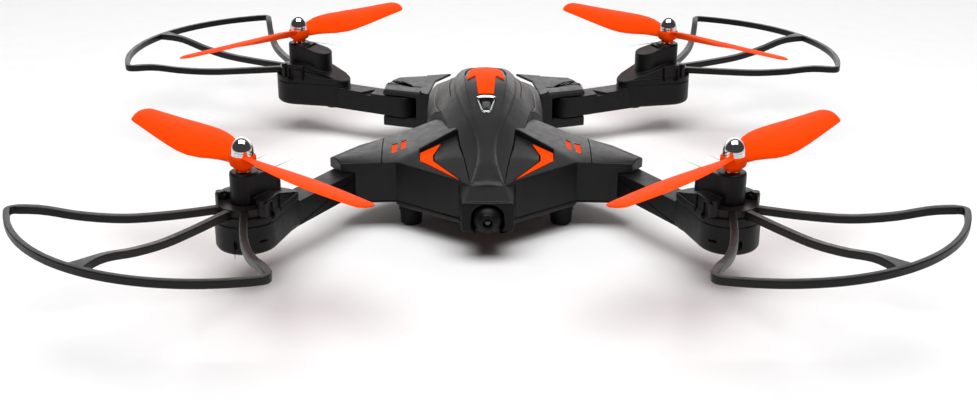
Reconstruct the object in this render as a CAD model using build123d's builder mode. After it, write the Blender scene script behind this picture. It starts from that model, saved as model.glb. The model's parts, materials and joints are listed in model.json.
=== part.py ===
"""Folding camera quadcopter with propeller guards, in millimetres.

+Z is up, the nose looks towards -Y and +X is the right hand side of the
machine as seen from the nose.  The origin lies on the ground under the
middle of the body.
"""
import os
from math import atan2, cos, degrees, hypot, pi, radians, sin

from build123d import *

os.makedirs("parts", exist_ok=True)

# ---------------------------------------------------------------- heights
FLOOR = 10.0                 # underside of the body
PARTING = 13.0               # joint between lower and upper body shell
DECK = 30.0                  # top of the wings
ARM_BOTTOM = 15.4
ARM_TOP = 25.4
FOLD_GAP = 0.4               # play above and below an arm in its slot
SLOT_BOTTOM = ARM_BOTTOM - FOLD_GAP
SLOT_TOP = ARM_TOP + FOLD_GAP

# ------------------------------------------------------------------- arms
ARM_WIDTH = 11.0
PIN_RADIUS = 1.5
PIN_PLAY = 0.05
POD_RADIUS = 12.0            # bowl that holds the reduction gear
POD_PARTING = 27.0           # joint between arm and motor cover
POD_LEDGE = 30.0             # seat of the guard bracket
TOWER_RADIUS = 5.4
TOWER_TOP = 45.4
BAY_TOP = 44.4
BAY_END = 41.2
BAY_RADIUS = 6.0
POD_REACH = 22.0
POD_NECK = 6.4
SHOULDER_TOP = 36.0
LEDGE_START = 1.5
COOLING_X = -1.5
WALL = 1.5

# ------------------------------------------------------------- gear train
GEAR_TEETH = 48
PINION_TEETH = 12
GEAR_MODULE = 0.4
BACKLASH = 0.05
AXLE_SPACING = GEAR_MODULE * (GEAR_TEETH + PINION_TEETH) / 2
GEAR_BOTTOM = 20.0
GEAR_THICK = 2.0
SHAFT_RADIUS = 1.0
BUSH_RADIUS = 2.0
MOTOR_RADIUS = 4.25
MOTOR_BOTTOM = 24.0
MOTOR_LENGTH = 16.0
MOTOR_SOCKET = 2.5
PINION_SHAFT = 0.4
GEAR_ROOM = 10.7
PINION_ROOM = 4.9
LOWER_BUSH_TOP = 19.0
UPPER_BUSH_BOTTOM = 42.6
SHAFT_BOTTOM = 17.1
SHAFT_TOP = 50.5

# ------------------------------------------------------ propeller and guard
PROP_RADIUS = 73.0
PROP_HEIGHT = 49.6
COLLAR_BOTTOM = 45.8
HUB_BOTTOM = 47.4
HUB_TOP = 51.9
SPINNER_TOP = 58.6
GUARD_RADIUS = 82.0
GUARD_OFFSET = 5.5           # ring centre, outward of the propeller axis
GUARD_SPREAD = 47.5          # degrees to each side of the arm direction
GUARD_TOP = 40.0
GUARD_HEIGHT = 3.0
GUARD_WIDTH = 2.3
STRUT_WIDTH = 3.0
STRUT_BOW = 4.2              # how far the end struts bow towards the middle
BRACKET_RADIUS = 10.2

# Underside of the struts: distance from the propeller axis, height.
STRUT_CURVE = ((13.0, 30.0), (30.0, 30.2), (45.0, 30.9), (60.0, 33.2), (74.0, 36.4), (83.0, 37.0))

# Blade stations: distance from the axis, leading edge, trailing edge,
# pitch in degrees, thickness.
BLADE = (
    (2.0, 3.2, -2.4, 34.0, 1.8),
    (12.0, 7.6, -3.4, 30.0, 1.7),
    (22.0, 10.2, -6.2, 24.0, 1.6),
    (32.0, 11.0, -6.9, 20.0, 1.4),
    (48.0, 11.0, -5.0, 15.5, 1.3),
    (62.0, 10.5, -2.2, 13.5, 1.1),
    (PROP_RADIUS, 9.0, 0.2, 12.0, 0.9),
)

# ------------------------------------------------------------------ camera
CAM_Y = -72.5
CAM_Z = 17.4
CAM_RADIUS = 6.5
POD_FRONT = -76.0
CHEEK_INSIDE = 7.2
CHEEK_OUTSIDE = 10.8
POD_BOTTOM = 12.0
CAM_PIN_RADIUS = 1.0
CAM_PIN_END = 9.0
LENS_RING = 3.2
LENS_RADIUS = 1.85
LENS_BACK = 4.2
BARREL_BORE = 4.6

# ------------------------------------------------------------------- body
WING_HEEL = (36.0, -3.5)
WING_REAR = (54.8, -20.0)
WING_TIP = (65.7, -35.2)
WING_TOE = (60.6, -43.2)
WING_ROOT = (37.8, -41.9)
NOSE_SHOULDER = (11.6, -61.7)
NOSE_TIP = (7.1, -66.6)
BODY_HALF = 27.0
BODY_TAIL = 97.0
TAIL_HALF = 20.0

# Canopy stations: place along Y, then the right half of the section as
# (x, z) of foot, shoulder and crown.
CANOPY = (
    (-66.4, (7.0, 28.6), (6.4, 28.9), (4.6, 29.2)),
    (-46.0, (30.6, 30.0), (11.2, 33.4), (3.4, 35.4)),
    (-20.0, (35.4, 30.4), (16.0, 38.5), (6.8, 43.6)),
    (15.0, (26.8, 30.0), (18.0, 44.0), (9.8, 50.0)),
    (36.0, (26.8, 30.0), (18.0, 41.5), (9.4, 47.2)),
    (66.0, (26.4, 29.0), (16.4, 33.5), (7.2, 36.4)),
    (94.0, (20.0, 25.5), (14.0, 26.8), (7.0, 28.0)),
)
CANOPY_FOOT = 24.0
HOOD_THICK = 1.2
INLAY_THICK = 0.5

# Half widths of the spine hood along Y, from nose to tail.
HOOD_LINE = (
    (-65.0, 6.9), (-60.0, 5.0), (-54.0, 3.9), (-45.0, 3.4), (-36.0, 4.2),
    (-28.0, 6.2), (-20.0, 8.8), (-11.0, 11.2), (0.0, 13.4), (14.0, 14.6),
    (30.0, 14.2), (44.0, 12.4), (66.0, 8.0),
)

BUTTON_Y = -13.8
BUTTON_Z = 45.9
BUTTON_TILT = 10.4           # degrees that the crown slopes at the button
BUTTON_PLAY = 0.2
BEZEL_WIDTH = 1.1

BATTERY_HALF = 17.0
BATTERY_START = 28.0
BATTERY_END = 91.0
BATTERY_BOTTOM = 12.4
BATTERY_TOP = 25.0
CAP_LENGTH = 6.5
GRIP_ROWS = 3

FOOT_HEIGHT = FLOOR
FEET = ((-32.0, -34.5), (32.0, -34.5), (-20.0, 78.0), (20.0, 78.0))


class Arm:
    """One folding arm: its hinge, its propeller axis and their directions."""

    def __init__(self, name, motor, pivot, blade_angle, spin):
        self.name = name
        self.motor = motor
        self.pivot = pivot
        self.length = hypot(motor[0] - pivot[0], motor[1] - pivot[1])
        self.along = (
            (motor[0] - pivot[0]) / self.length,
            (motor[1] - pivot[1]) / self.length,
        )
        self.blade_angle = blade_angle
        self.spin = spin

    def plane(self, height):
        """Plane at this height, centred on the propeller axis, +x outward."""
        origin = (self.motor[0], self.motor[1], height)
        return Plane(origin=origin, x_dir=(*self.along, 0), z_dir=(0, 0, 1))

    def side_plane(self):
        """Upright plane through the arm: local x is outward, local y is up."""
        outward = Vector(*self.along, 0)
        origin = (self.motor[0], self.motor[1], 0)
        return Plane(origin=origin, x_dir=outward, z_dir=outward.cross(Vector(0, 0, 1)))


FRONT_MOTOR = (91.8, -94.4)
FRONT_PIVOT = (52.8, -27.6)
REAR_MOTOR = (93.3, 95.8)
REAR_PIVOT = (39.5, 69.0)


def flipped(point):
    """The same point on the other side of the machine."""
    return (-point[0], point[1])


ARMS = (
    Arm("front_left", flipped(FRONT_MOTOR), flipped(FRONT_PIVOT), 138.0, -1),
    Arm("front_right", FRONT_MOTOR, FRONT_PIVOT, 42.0, 1),
    Arm("rear_left", flipped(REAR_MOTOR), flipped(REAR_PIVOT), 45.0, 1),
    Arm("rear_right", REAR_MOTOR, REAR_PIVOT, 135.0, -1),
)


def both_sides(half):
    """Close a half outline, given from nose to tail, by its mirror image."""
    return list(half) + [flipped(point) for point in reversed(half)]


def degrees_across(width):
    """Angle that a width takes up at the guard's radius."""
    return degrees(width / GUARD_RADIUS)


def strut_outline(turn):
    """Plan outline of a guard strut that meets the ring at this angle."""
    end = Vector(GUARD_OFFSET, 0) + direction(turn) * (GUARD_RADIUS - 1.2)
    along = end.normalized()
    across = Vector(-along.Y, along.X)
    bow = 0.0 if turn == 0 else -STRUT_BOW * turn / abs(turn)
    near, far = [], []
    for share in (0.05, 0.2, 0.35, 0.5, 0.65, 0.8, 0.9, 1.0):
        middle = end * share + across * bow * sin(pi * share)
        near.append(middle - across * STRUT_WIDTH / 2)
        far.append(middle + across * STRUT_WIDTH / 2)
    return [(point.X, point.Y) for point in near + far[::-1]]


def gear_outline(teeth, turn):
    """Points round a spur gear with tapered teeth; turn is in degrees."""
    pitch_radius = GEAR_MODULE * teeth / 2
    root = pitch_radius - 1.2 * GEAR_MODULE
    tip = pitch_radius + 0.8 * GEAR_MODULE
    half_pitch = (pi * GEAR_MODULE / 4 - BACKLASH) / pitch_radius
    half_root = half_pitch * 1.45
    half_tip = half_pitch * 0.42
    points = []
    for tooth in range(teeth):
        middle = radians(turn) + 2 * pi * tooth / teeth
        for radius, angle in (
            (root, middle - half_root),
            (pitch_radius, middle - half_pitch),
            (tip, middle - half_tip),
            (tip, middle + half_tip),
            (pitch_radius, middle + half_pitch),
            (root, middle + half_root),
        ):
            points.append((radius * cos(angle), radius * sin(angle)))
    return points


def canopy_solid(grow, front=-70.0, rear=96.0):
    """Canopy lofted through its stations, grown outward, cut to length."""
    with BuildPart() as block:
        for y, foot, shoulder, crown in CANOPY:
            half = (
                (foot[0] + grow, CANOPY_FOOT),
                (foot[0] + grow, foot[1] + grow * 0.5),
                (shoulder[0] + grow * 0.7, shoulder[1] + grow),
                (crown[0] + grow * 0.4, crown[1] + grow),
            )
            with BuildSketch(Plane.XZ.offset(-y)):
                Polygon(*both_sides(half), align=None)
        loft(ruled=True)
        with Locations((0, (front + rear) / 2, CANOPY_FOOT)):
            Box(4 * BODY_HALF, rear - front, 80, mode=Mode.INTERSECT)
    return block.part


def hood_prism():
    """Upright prism inside the smooth outline of the spine hood."""
    with BuildPart() as prism:
        with BuildSketch(Plane.XY.offset(CANOPY_FOOT)):
            with BuildLine():
                right = Spline(*[(x, y) for y, x in HOOD_LINE])
                left = Spline(*[(-x, y) for y, x in HOOD_LINE])
                Line(left @ 0, right @ 0)
                Line(left @ 1, right @ 1)
            make_face()
        extrude(amount=40)
    return prism.part


def button_plane(rise):
    """Plane on the sloping crown where the power button sits."""
    tilt = radians(BUTTON_TILT)
    normal = Vector(0, -sin(tilt), cos(tilt))
    origin = Vector(0, BUTTON_Y, BUTTON_Z) + normal * rise
    return Plane(origin=origin, x_dir=(1, 0, 0), z_dir=normal)


def button_outline(grow):
    """Rounded triangle, point towards the nose, grown outward."""
    Polygon((-2.3, 4.8), (-0.4, -5.4), (0.4, -5.4), (2.3, 4.8), align=None)
    offset(amount=0.8 + grow, kind=Kind.ARC)


# ------------------------------------------------------- shared body outlines
WING_OUTLINE = both_sides(
    (NOSE_TIP, NOSE_SHOULDER, WING_ROOT, WING_TOE, WING_TIP, WING_REAR, WING_HEEL)
)
FUSELAGE_OUTLINE = both_sides(
    (
        NOSE_TIP,
        NOSE_SHOULDER,
        WING_ROOT,
        WING_HEEL,
        (BODY_HALF, 14.0),
        (BODY_HALF, 84.0),
        (TAIL_HALF, BODY_TAIL),
    )
)
CAVITY_OUTLINE = both_sides(
    (
        (8.0, -57.0),
        (30.0, -39.0),
        (30.0, -10.0),
        (BODY_HALF - WALL, 14.0),
        (BODY_HALF - WALL, 83.0),
        (BATTERY_HALF + 0.5, BODY_TAIL - 4.0),
    )
)
FRONT_FOLD = 70.0            # degrees that a front arm swings back
SLOT_SIDE = ARM_WIDTH / 2 + 0.5
SLOT_MARGIN = 4.0            # degrees by which a slot is wider than the swing


def direction(angle):
    """Unit vector at an angle in degrees, in plan."""
    return Vector(cos(radians(angle)), sin(radians(angle)))


def heading(start, end):
    """Angle in degrees, in plan, from one point to another."""
    return degrees(atan2(end[1] - start[1], end[0] - start[0]))


def slot_corners(side, corners):
    """Plan points of a slot; side is 1 on the right and -1 on the left."""
    return [(side * corner.X, corner.Y) for corner in corners]


def front_slot(side):
    """Plan of the space that a front arm sweeps."""
    pivot = Vector(*FRONT_PIVOT)
    rest = heading(FRONT_PIVOT, FRONT_MOTOR)
    folded = rest + FRONT_FOLD + SLOT_MARGIN
    inner = pivot + direction(rest - 90) * SLOT_SIDE
    rear = pivot + direction(folded + 90) * SLOT_SIDE
    corners = (
        inner,
        inner + direction(rest) * 45,
        Vector(120, -70),
        Vector(120, 20),
        rear + direction(folded) * 60,
        rear,
    )
    Polygon(*slot_corners(side, corners), align=None)
    with Locations((side * FRONT_PIVOT[0], FRONT_PIVOT[1])):
        Circle(SLOT_SIDE)


def rear_slot(side):
    """Plan of the space that a rear arm sweeps."""
    pivot = Vector(*REAR_PIVOT)
    rest = heading(REAR_PIVOT, REAR_MOTOR)
    back = pivot + direction(rest + 90) * SLOT_SIDE
    inner_x = REAR_PIVOT[0] - SLOT_SIDE
    corners = (
        back,
        back + direction(rest) * 60,
        Vector(110, 40),
        Vector(inner_x, 40),
        Vector(inner_x, REAR_PIVOT[1]),
    )
    Polygon(*slot_corners(side, corners), align=None)
    with Locations((side * REAR_PIVOT[0], REAR_PIVOT[1])):
        Circle(SLOT_SIDE)


PIN_BOTTOM = 12.4
PIN_TOP = 27.4
CLEVIS_BOTTOM = 10.2
CLEVIS_TOP = 28.6
CLEVIS_OUTLINE = ((27.0, 59.8), (49.8, 68.0), (49.0, 79.0), (43.5, 90.5), (27.0, 94.0))
VENTS = ((39.1, -27.0), (35.4, -24.0), (-39.1, -27.0), (-35.4, -24.0))
VENT_WIDTH = 2.2
VENT_LENGTH = 11.0
VENT_DEPTH = 1.6
CHEVRON = (
    (-19.4, -31.0),
    (-28.2, -35.2),
    (-27.8, -43.6),
    (-11.4, -60.8),
    (-22.2, -45.2),
    (-22.5, -40.0),
)
INLAY_LINE = (
    (3.4, -4.6), (4.7, 13.0), (8.1, 8.6), (8.4, 16.0), (8.0, 26.0), (5.6, 33.4), (2.4, 36.0),
)
BOARD_BOTTOM = 14.0
BOARD_THICK = 1.2
BOARD_POSTS = ((-17.0, -26.0), (17.0, -26.0), (-17.0, 12.0), (17.0, 12.0))
SHELL_SCREWS = ((-27.0, -42.0), (27.0, -42.0), (-22.6, 20.0), (22.6, 20.0))
FRONT_HINGES = (FRONT_PIVOT, flipped(FRONT_PIVOT))
REAR_HINGES = (REAR_PIVOT, flipped(REAR_PIVOT))
POST_RADIUS = 3.2
SCREW_TOP = 26.0
POD_BACK = -62.5
POD_TOP = 25.4
MOUTH_WIDTH = 2 * BATTERY_HALF + 0.6
MOUTH_BOTTOM = BATTERY_BOTTOM - 0.2
MOUTH_TOP = BATTERY_TOP + 0.4
RAIL_X = BATTERY_HALF + 1.2
RAIL_LENGTH = 52.0
RAIL_HEIGHT = 8.5
RAIL_MIDDLE = BATTERY_START + 28.0

# ------------------------------------------------------------ lower body shell
with BuildPart() as lower_shell:
    with BuildSketch(Plane.XY.offset(FLOOR)):
        Polygon(*FUSELAGE_OUTLINE, align=None)
    extrude(amount=PARTING - FLOOR)
    chamfer(lower_shell.faces().sort_by(Axis.Z)[0].edges(), 1.2)
    with BuildSketch(Plane.XY.offset(FLOOR + 2.0)):
        Polygon(*WING_OUTLINE, align=None)
    extrude(amount=PARTING - FLOOR - 2.0)
    with BuildSketch(Plane.XY.offset(FLOOR + 2.0)):
        Polygon(*CAVITY_OUTLINE, align=None)
    extrude(amount=PARTING, mode=Mode.SUBTRACT)
    with BuildSketch(Plane.XY.offset(SLOT_BOTTOM)):
        front_slot(1)
        front_slot(-1)
    extrude(amount=PARTING, mode=Mode.SUBTRACT)
    with BuildSketch(Plane.XY.offset(MOUTH_BOTTOM)):
        with Locations((0, BODY_TAIL)):
            Rectangle(MOUTH_WIDTH, 30)
    extrude(amount=PARTING, mode=Mode.SUBTRACT)
    with BuildSketch(Plane.XY):
        with Locations((0, POD_BACK)):
            Rectangle(2 * CHEEK_OUTSIDE, 20, align=(Align.CENTER, Align.MAX))
    extrude(amount=PARTING, mode=Mode.SUBTRACT)
    with BuildSketch(Plane.XY.offset(FLOOR + 1.0)):
        with Locations((-RAIL_X, RAIL_MIDDLE), (RAIL_X, RAIL_MIDDLE)):
            Rectangle(1.5, RAIL_LENGTH)
    extrude(amount=RAIL_HEIGHT)
    with BuildSketch(Plane.XY.offset(FLOOR + 1.0)):
        with Locations(*BOARD_POSTS):
            Circle(2.2)
    extrude(amount=BOARD_BOTTOM - FLOOR - 1.0)
    with BuildSketch(Plane.XY.offset(FLOOR + 1.0)):
        with Locations(*SHELL_SCREWS):
            Circle(POST_RADIUS)
    extrude(amount=PARTING - FLOOR - 1.0)
    with BuildSketch(Plane.XY.offset(PIN_BOTTOM)):
        with Locations(*FRONT_HINGES):
            Circle(PIN_RADIUS)
    extrude(amount=PARTING, mode=Mode.SUBTRACT)
    with BuildSketch(Plane.XY):
        with Locations(*SHELL_SCREWS):
            Circle(2.0)
    extrude(amount=FLOOR + 1.6, mode=Mode.SUBTRACT)
    with BuildSketch(Plane.XY):
        with Locations(*SHELL_SCREWS):
            Circle(1.0)
    extrude(amount=DECK, mode=Mode.SUBTRACT)
lower_shell.part.label = "lower_shell"
export_step(lower_shell.part, "parts/lower_shell.step")

# ------------------------------------------------------------ upper body shell
canopy = canopy_solid(0.0)
canopy_inside = canopy_solid(-WALL, front=-60.0, rear=84.0)

with BuildPart() as upper_shell:
    with BuildSketch(Plane.XY.offset(PARTING)):
        Polygon(*FUSELAGE_OUTLINE, align=None)
    extrude(amount=CANOPY_FOOT + 2.0 - PARTING)
    with BuildSketch(Plane.XY.offset(PARTING)):
        Polygon(*WING_OUTLINE, align=None)
    extrude(amount=DECK - PARTING)
    add(canopy)
    with BuildSketch(Plane.XY.offset(PARTING)):
        Polygon(*CAVITY_OUTLINE, align=None)
    extrude(amount=CANOPY_FOOT - PARTING, mode=Mode.SUBTRACT)
    add(canopy_inside, mode=Mode.SUBTRACT)
    with BuildSketch(Plane.XY.offset(SLOT_BOTTOM)):
        front_slot(1)
        front_slot(-1)
    extrude(amount=SLOT_TOP - SLOT_BOTTOM, mode=Mode.SUBTRACT)
    with BuildSketch(Plane.XY.offset(PARTING)):
        with Locations((0, BODY_TAIL)):
            Rectangle(MOUTH_WIDTH, 30)
    extrude(amount=MOUTH_TOP - PARTING, mode=Mode.SUBTRACT)
    with BuildSketch(Plane.XY.offset(PARTING)):
        with Locations((0, POD_BACK)):
            Rectangle(2 * CHEEK_OUTSIDE, 20, align=(Align.CENTER, Align.MAX))
    extrude(amount=POD_TOP - PARTING, mode=Mode.SUBTRACT)
    with BuildSketch(Plane.XY.offset(PARTING)):
        with Locations(*FRONT_HINGES):
            Circle(PIN_RADIUS)
    extrude(amount=PIN_TOP - PARTING, mode=Mode.SUBTRACT)
    with BuildSketch(Plane.XY.offset(PARTING)):
        with Locations(*SHELL_SCREWS):
            Circle(POST_RADIUS)
    extrude(amount=DECK - 1.0 - PARTING)
    with BuildSketch(Plane.XY.offset(PARTING)):
        with Locations(*SHELL_SCREWS):
            Circle(1.0)
    extrude(amount=SCREW_TOP - PARTING, mode=Mode.SUBTRACT)
    with BuildSketch(Plane.XY.offset(DECK)):
        for x, y in VENTS:
            with Locations((x, y)):
                Rectangle(VENT_WIDTH, VENT_LENGTH)
    extrude(amount=-VENT_DEPTH, mode=Mode.SUBTRACT)
    with BuildSketch(button_plane(-6.0)):
        button_outline(BEZEL_WIDTH)
    extrude(amount=9.0, mode=Mode.SUBTRACT)
upper_shell.part.label = "upper_shell"
export_step(upper_shell.part, "parts/upper_shell.step")

# ----------------------------------------------------------------- spine hood
hood_outside = canopy_solid(HOOD_THICK)
inlay_outside = canopy_solid(HOOD_THICK + INLAY_THICK)

with BuildPart() as spine_hood:
    add(hood_prism())
    add(hood_outside, mode=Mode.INTERSECT)
    add(canopy, mode=Mode.SUBTRACT)
    add(upper_shell.part, mode=Mode.SUBTRACT)
    with BuildSketch(button_plane(-6.0)):
        button_outline(BEZEL_WIDTH)
    extrude(amount=9.0, mode=Mode.SUBTRACT)
spine_hood.part.label = "spine_hood"
export_step(spine_hood.part, "parts/spine_hood.step")

with BuildPart() as hood_inlay:
    with BuildSketch(Plane.XY.offset(CANOPY_FOOT)):
        Polygon(*both_sides(INLAY_LINE), align=None)
    extrude(amount=40)
    add(inlay_outside, mode=Mode.INTERSECT)
    add(hood_outside, mode=Mode.SUBTRACT)
hood_inlay.part.label = "hood_inlay"
export_step(hood_inlay.part, "parts/hood_inlay.step")

# ------------------------------------------------------- coloured body inlays
chevron_outside = canopy_solid(INLAY_THICK)

with BuildPart() as chevron_inlays:
    with BuildSketch(Plane.XY.offset(CANOPY_FOOT)):
        Polygon(*CHEVRON, align=None)
        Polygon(*[flipped(point) for point in CHEVRON], align=None)
    extrude(amount=40)
    add(chevron_outside, mode=Mode.INTERSECT)
    add(canopy, mode=Mode.SUBTRACT)
    add(upper_shell.part, mode=Mode.SUBTRACT)
chevron_inlays.part.label = "chevron_inlays"
export_step(chevron_inlays.part, "parts/chevron_inlays.step")

with BuildPart() as wing_vent_inlays:
    with BuildSketch(Plane.XY.offset(DECK - VENT_DEPTH)):
        for x, y in VENTS:
            with Locations((x, y)):
                Rectangle(VENT_WIDTH, VENT_LENGTH)
    extrude(amount=0.8)
wing_vent_inlays.part.label = "wing_vent_inlays"
export_step(wing_vent_inlays.part, "parts/wing_vent_inlays.step")

# ------------------------------------------------------------- camera housing
with BuildPart() as nose_housing:
    with BuildSketch(Plane.XZ.offset(-POD_BACK)):
        with Locations((0, (POD_BOTTOM + POD_TOP) / 2)):
            RectangleRounded(2 * CHEEK_OUTSIDE, POD_TOP - POD_BOTTOM, 3.0)
    extrude(amount=POD_BACK - POD_FRONT)
    with BuildSketch(Plane.YZ.offset(-CHEEK_INSIDE)):
        with Locations((CAM_Y, CAM_Z)):
            Circle(CAM_RADIUS + 0.5)
        with Locations((CAM_Y, CAM_Z)):
            Rectangle(20, 20, align=(Align.MAX, Align.MAX))
            Rectangle(CAM_RADIUS + 0.5, 20, align=(Align.MIN, Align.MAX))
    extrude(amount=2 * CHEEK_INSIDE, mode=Mode.SUBTRACT)
    with BuildSketch(Plane.YZ.offset(-CAM_PIN_END)):
        with Locations((CAM_Y, CAM_Z)):
            Circle(CAM_PIN_RADIUS + PIN_PLAY)
    extrude(amount=2 * CAM_PIN_END, mode=Mode.SUBTRACT)
nose_housing.part.label = "nose_housing"
export_step(nose_housing.part, "parts/nose_housing.step")

with BuildPart() as camera_barrel:
    with Locations((0, CAM_Y, CAM_Z)):
        Sphere(CAM_RADIUS)
        Box(2 * CHEEK_INSIDE - 0.8, 30, 30, mode=Mode.INTERSECT)
    with BuildSketch(Plane.XZ.offset(-CAM_Y)):
        with Locations((0, CAM_Z)):
            Circle(LENS_RING)
    extrude(amount=CAM_RADIUS + 0.7)
    with BuildSketch(Plane.XZ.offset(-CAM_Y)):
        with Locations((0, CAM_Z)):
            Circle(LENS_RADIUS)
    extrude(amount=CAM_RADIUS + 2, mode=Mode.SUBTRACT)
    with BuildSketch(Plane.XZ.offset(-CAM_Y)):
        with Locations((0, CAM_Z)):
            Circle(BARREL_BORE)
    extrude(amount=-CAM_RADIUS - 2, mode=Mode.SUBTRACT)
    with BuildSketch(Plane.XZ.offset(-CAM_Y)):
        with Locations((0, CAM_Z)):
            Circle(BARREL_BORE)
    extrude(amount=2.0, mode=Mode.SUBTRACT)
    with BuildSketch(Plane.YZ.offset(CHEEK_INSIDE - 1.0)):
        with Locations((CAM_Y, CAM_Z)):
            Circle(CAM_PIN_RADIUS)
    extrude(amount=CAM_PIN_END - CHEEK_INSIDE + 0.8)
    with BuildSketch(Plane.YZ.offset(1.0 - CHEEK_INSIDE)):
        with Locations((CAM_Y, CAM_Z)):
            Circle(CAM_PIN_RADIUS)
    extrude(amount=-CAM_PIN_END + CHEEK_INSIDE - 0.8)
camera_barrel.part.label = "camera_barrel"
export_step(camera_barrel.part, "parts/camera_barrel.step")

with BuildPart() as camera_lens:
    with BuildSketch(Plane.XZ.offset(LENS_BACK - CAM_Y)):
        with Locations((0, CAM_Z)):
            Circle(LENS_RADIUS)
    extrude(amount=2.0)
camera_lens.part.label = "camera_lens"
export_step(camera_lens.part, "parts/camera_lens.step")

with BuildPart() as camera_board:
    with BuildSketch(Plane.XZ.offset(-CAM_Y)):
        with Locations((0, CAM_Z)):
            Rectangle(6.0, 6.0)
    extrude(amount=1.0)
    with BuildSketch(Plane.XZ.offset(1.0 - CAM_Y)):
        with Locations((0, CAM_Z)):
            Rectangle(3.0, 3.0)
    extrude(amount=0.9)
camera_board.part.label = "camera_board"
export_step(camera_board.part, "parts/camera_board.step")

# ---------------------------------------------------------------- power button
with BuildPart() as button_bezel:
    with BuildSketch(button_plane(-1.6)):
        button_outline(BEZEL_WIDTH)
    extrude(amount=2.5)
    with BuildSketch(button_plane(-1.6)):
        button_outline(BUTTON_PLAY)
    extrude(amount=2.5, mode=Mode.SUBTRACT)
button_bezel.part.label = "button_bezel"
export_step(button_bezel.part, "parts/button_bezel.step")

with BuildPart() as power_button:
    with BuildSketch(button_plane(-2.0)):
        button_outline(0)
    extrude(amount=2.5)
    with BuildSketch(button_plane(-2.8)):
        button_outline(0.6)
    extrude(amount=0.9)
    with BuildSketch(button_plane(-4.4)):
        Circle(1.2)
    extrude(amount=2.0)
power_button.part.label = "power_button"
export_step(power_button.part, "parts/power_button.step")

with BuildPart() as button_switch:
    with BuildSketch(button_plane(-8.6)):
        Rectangle(5.0, 5.0)
    extrude(amount=2.8)
    with BuildSketch(button_plane(-6.0)):
        Circle(1.4)
    extrude(amount=0.7)
    with BuildSketch(button_plane(-9.8)):
        Rectangle(16.0, 7.0)
    extrude(amount=1.2)
    with BuildSketch(button_plane(-9.8)):
        with Locations((-6.8, 0), (6.8, 0)):
            Rectangle(2.0, 5.0)
    extrude(amount=12.0)
    add(canopy_inside, mode=Mode.INTERSECT)
button_switch.part.label = "button_switch"
export_step(button_switch.part, "parts/button_switch.step")

# ------------------------------------------------------------- rear hinge forks
for side, name in ((-1, "rear_clevis_left"), (1, "rear_clevis_right")):
    with BuildPart() as rear_clevis:
        with BuildSketch(Plane.XY.offset(CLEVIS_BOTTOM)):
            Polygon(*[(side * x, y) for x, y in CLEVIS_OUTLINE], align=None)
        extrude(amount=CLEVIS_TOP - CLEVIS_BOTTOM)
        chamfer(rear_clevis.faces().sort_by(Axis.Z)[-1].edges(), 0.9)
        with BuildSketch(Plane.XY.offset(SLOT_BOTTOM)):
            rear_slot(side)
        extrude(amount=SLOT_TOP - SLOT_BOTTOM, mode=Mode.SUBTRACT)
        with BuildSketch(Plane.XY.offset(PIN_BOTTOM)):
            with Locations((side * REAR_PIVOT[0], REAR_PIVOT[1])):
                Circle(PIN_RADIUS)
        extrude(amount=PIN_TOP - PIN_BOTTOM, mode=Mode.SUBTRACT)
    rear_clevis.part.label = name
    export_step(rear_clevis.part, f"parts/{name}.step")

with BuildPart() as hinge_pins:
    with BuildSketch(Plane.XY.offset(PIN_BOTTOM)):
        with Locations(*FRONT_HINGES, *REAR_HINGES):
            Circle(PIN_RADIUS)
    extrude(amount=PIN_TOP - PIN_BOTTOM)
hinge_pins.part.label = "hinge_pins"
export_step(hinge_pins.part, "parts/hinge_pins.step")

with BuildPart() as shell_screws:
    with BuildSketch(Plane.XY.offset(FLOOR + 0.2)):
        with Locations(*SHELL_SCREWS):
            Circle(1.9)
    extrude(amount=1.4)
    with BuildSketch(Plane.XY.offset(FLOOR + 1.6)):
        with Locations(*SHELL_SCREWS):
            Circle(1.0)
    extrude(amount=SCREW_TOP - FLOOR - 2.0)
shell_screws.part.label = "shell_screws"
export_step(shell_screws.part, "parts/shell_screws.step")

# ------------------------------------------------------------------ landing feet
with BuildPart() as landing_feet:
    for x, y in FEET:
        with Locations((x, y, 0)):
            Cone(4.5, 5.3, FOOT_HEIGHT, align=(Align.CENTER, Align.CENTER, Align.MIN))
    fillet(landing_feet.faces().group_by(Axis.Z)[0].edges(), 1.0)
landing_feet.part.label = "landing_feet"
export_step(landing_feet.part, "parts/landing_feet.step")

# ------------------------------------------------------------------- electronics
with BuildPart() as flight_board:
    with BuildSketch(Plane.XY.offset(BOARD_BOTTOM)):
        with Locations((0, -7.0)):
            RectangleRounded(40.0, 44.0, 2.0)
    extrude(amount=BOARD_THICK)
    with BuildSketch(Plane.XY.offset(BOARD_BOTTOM + BOARD_THICK)):
        with Locations((0, -8.0)):
            Rectangle(7.0, 7.0)
        with Locations((-11.0, 2.0)):
            Rectangle(5.0, 6.0)
        with Locations((11.0, -14.0)):
            Rectangle(4.0, 4.0)
    extrude(amount=1.1)
    with BuildSketch(Plane.XY.offset(BOARD_BOTTOM + BOARD_THICK)):
        with Locations((0, 11.0)):
            Rectangle(8.0, 6.0)
    extrude(amount=5.0)
flight_board.part.label = "flight_board"
export_step(flight_board.part, "parts/flight_board.step")

with BuildPart() as battery_pack:
    with BuildSketch(Plane.XY.offset(BATTERY_BOTTOM)):
        with Locations((0, (BATTERY_START + BATTERY_END) / 2)):
            RectangleRounded(2 * BATTERY_HALF, BATTERY_END - BATTERY_START, 1.5)
    extrude(amount=BATTERY_TOP - BATTERY_BOTTOM)
battery_pack.part.label = "battery_pack"
export_step(battery_pack.part, "parts/battery_pack.step")

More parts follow.
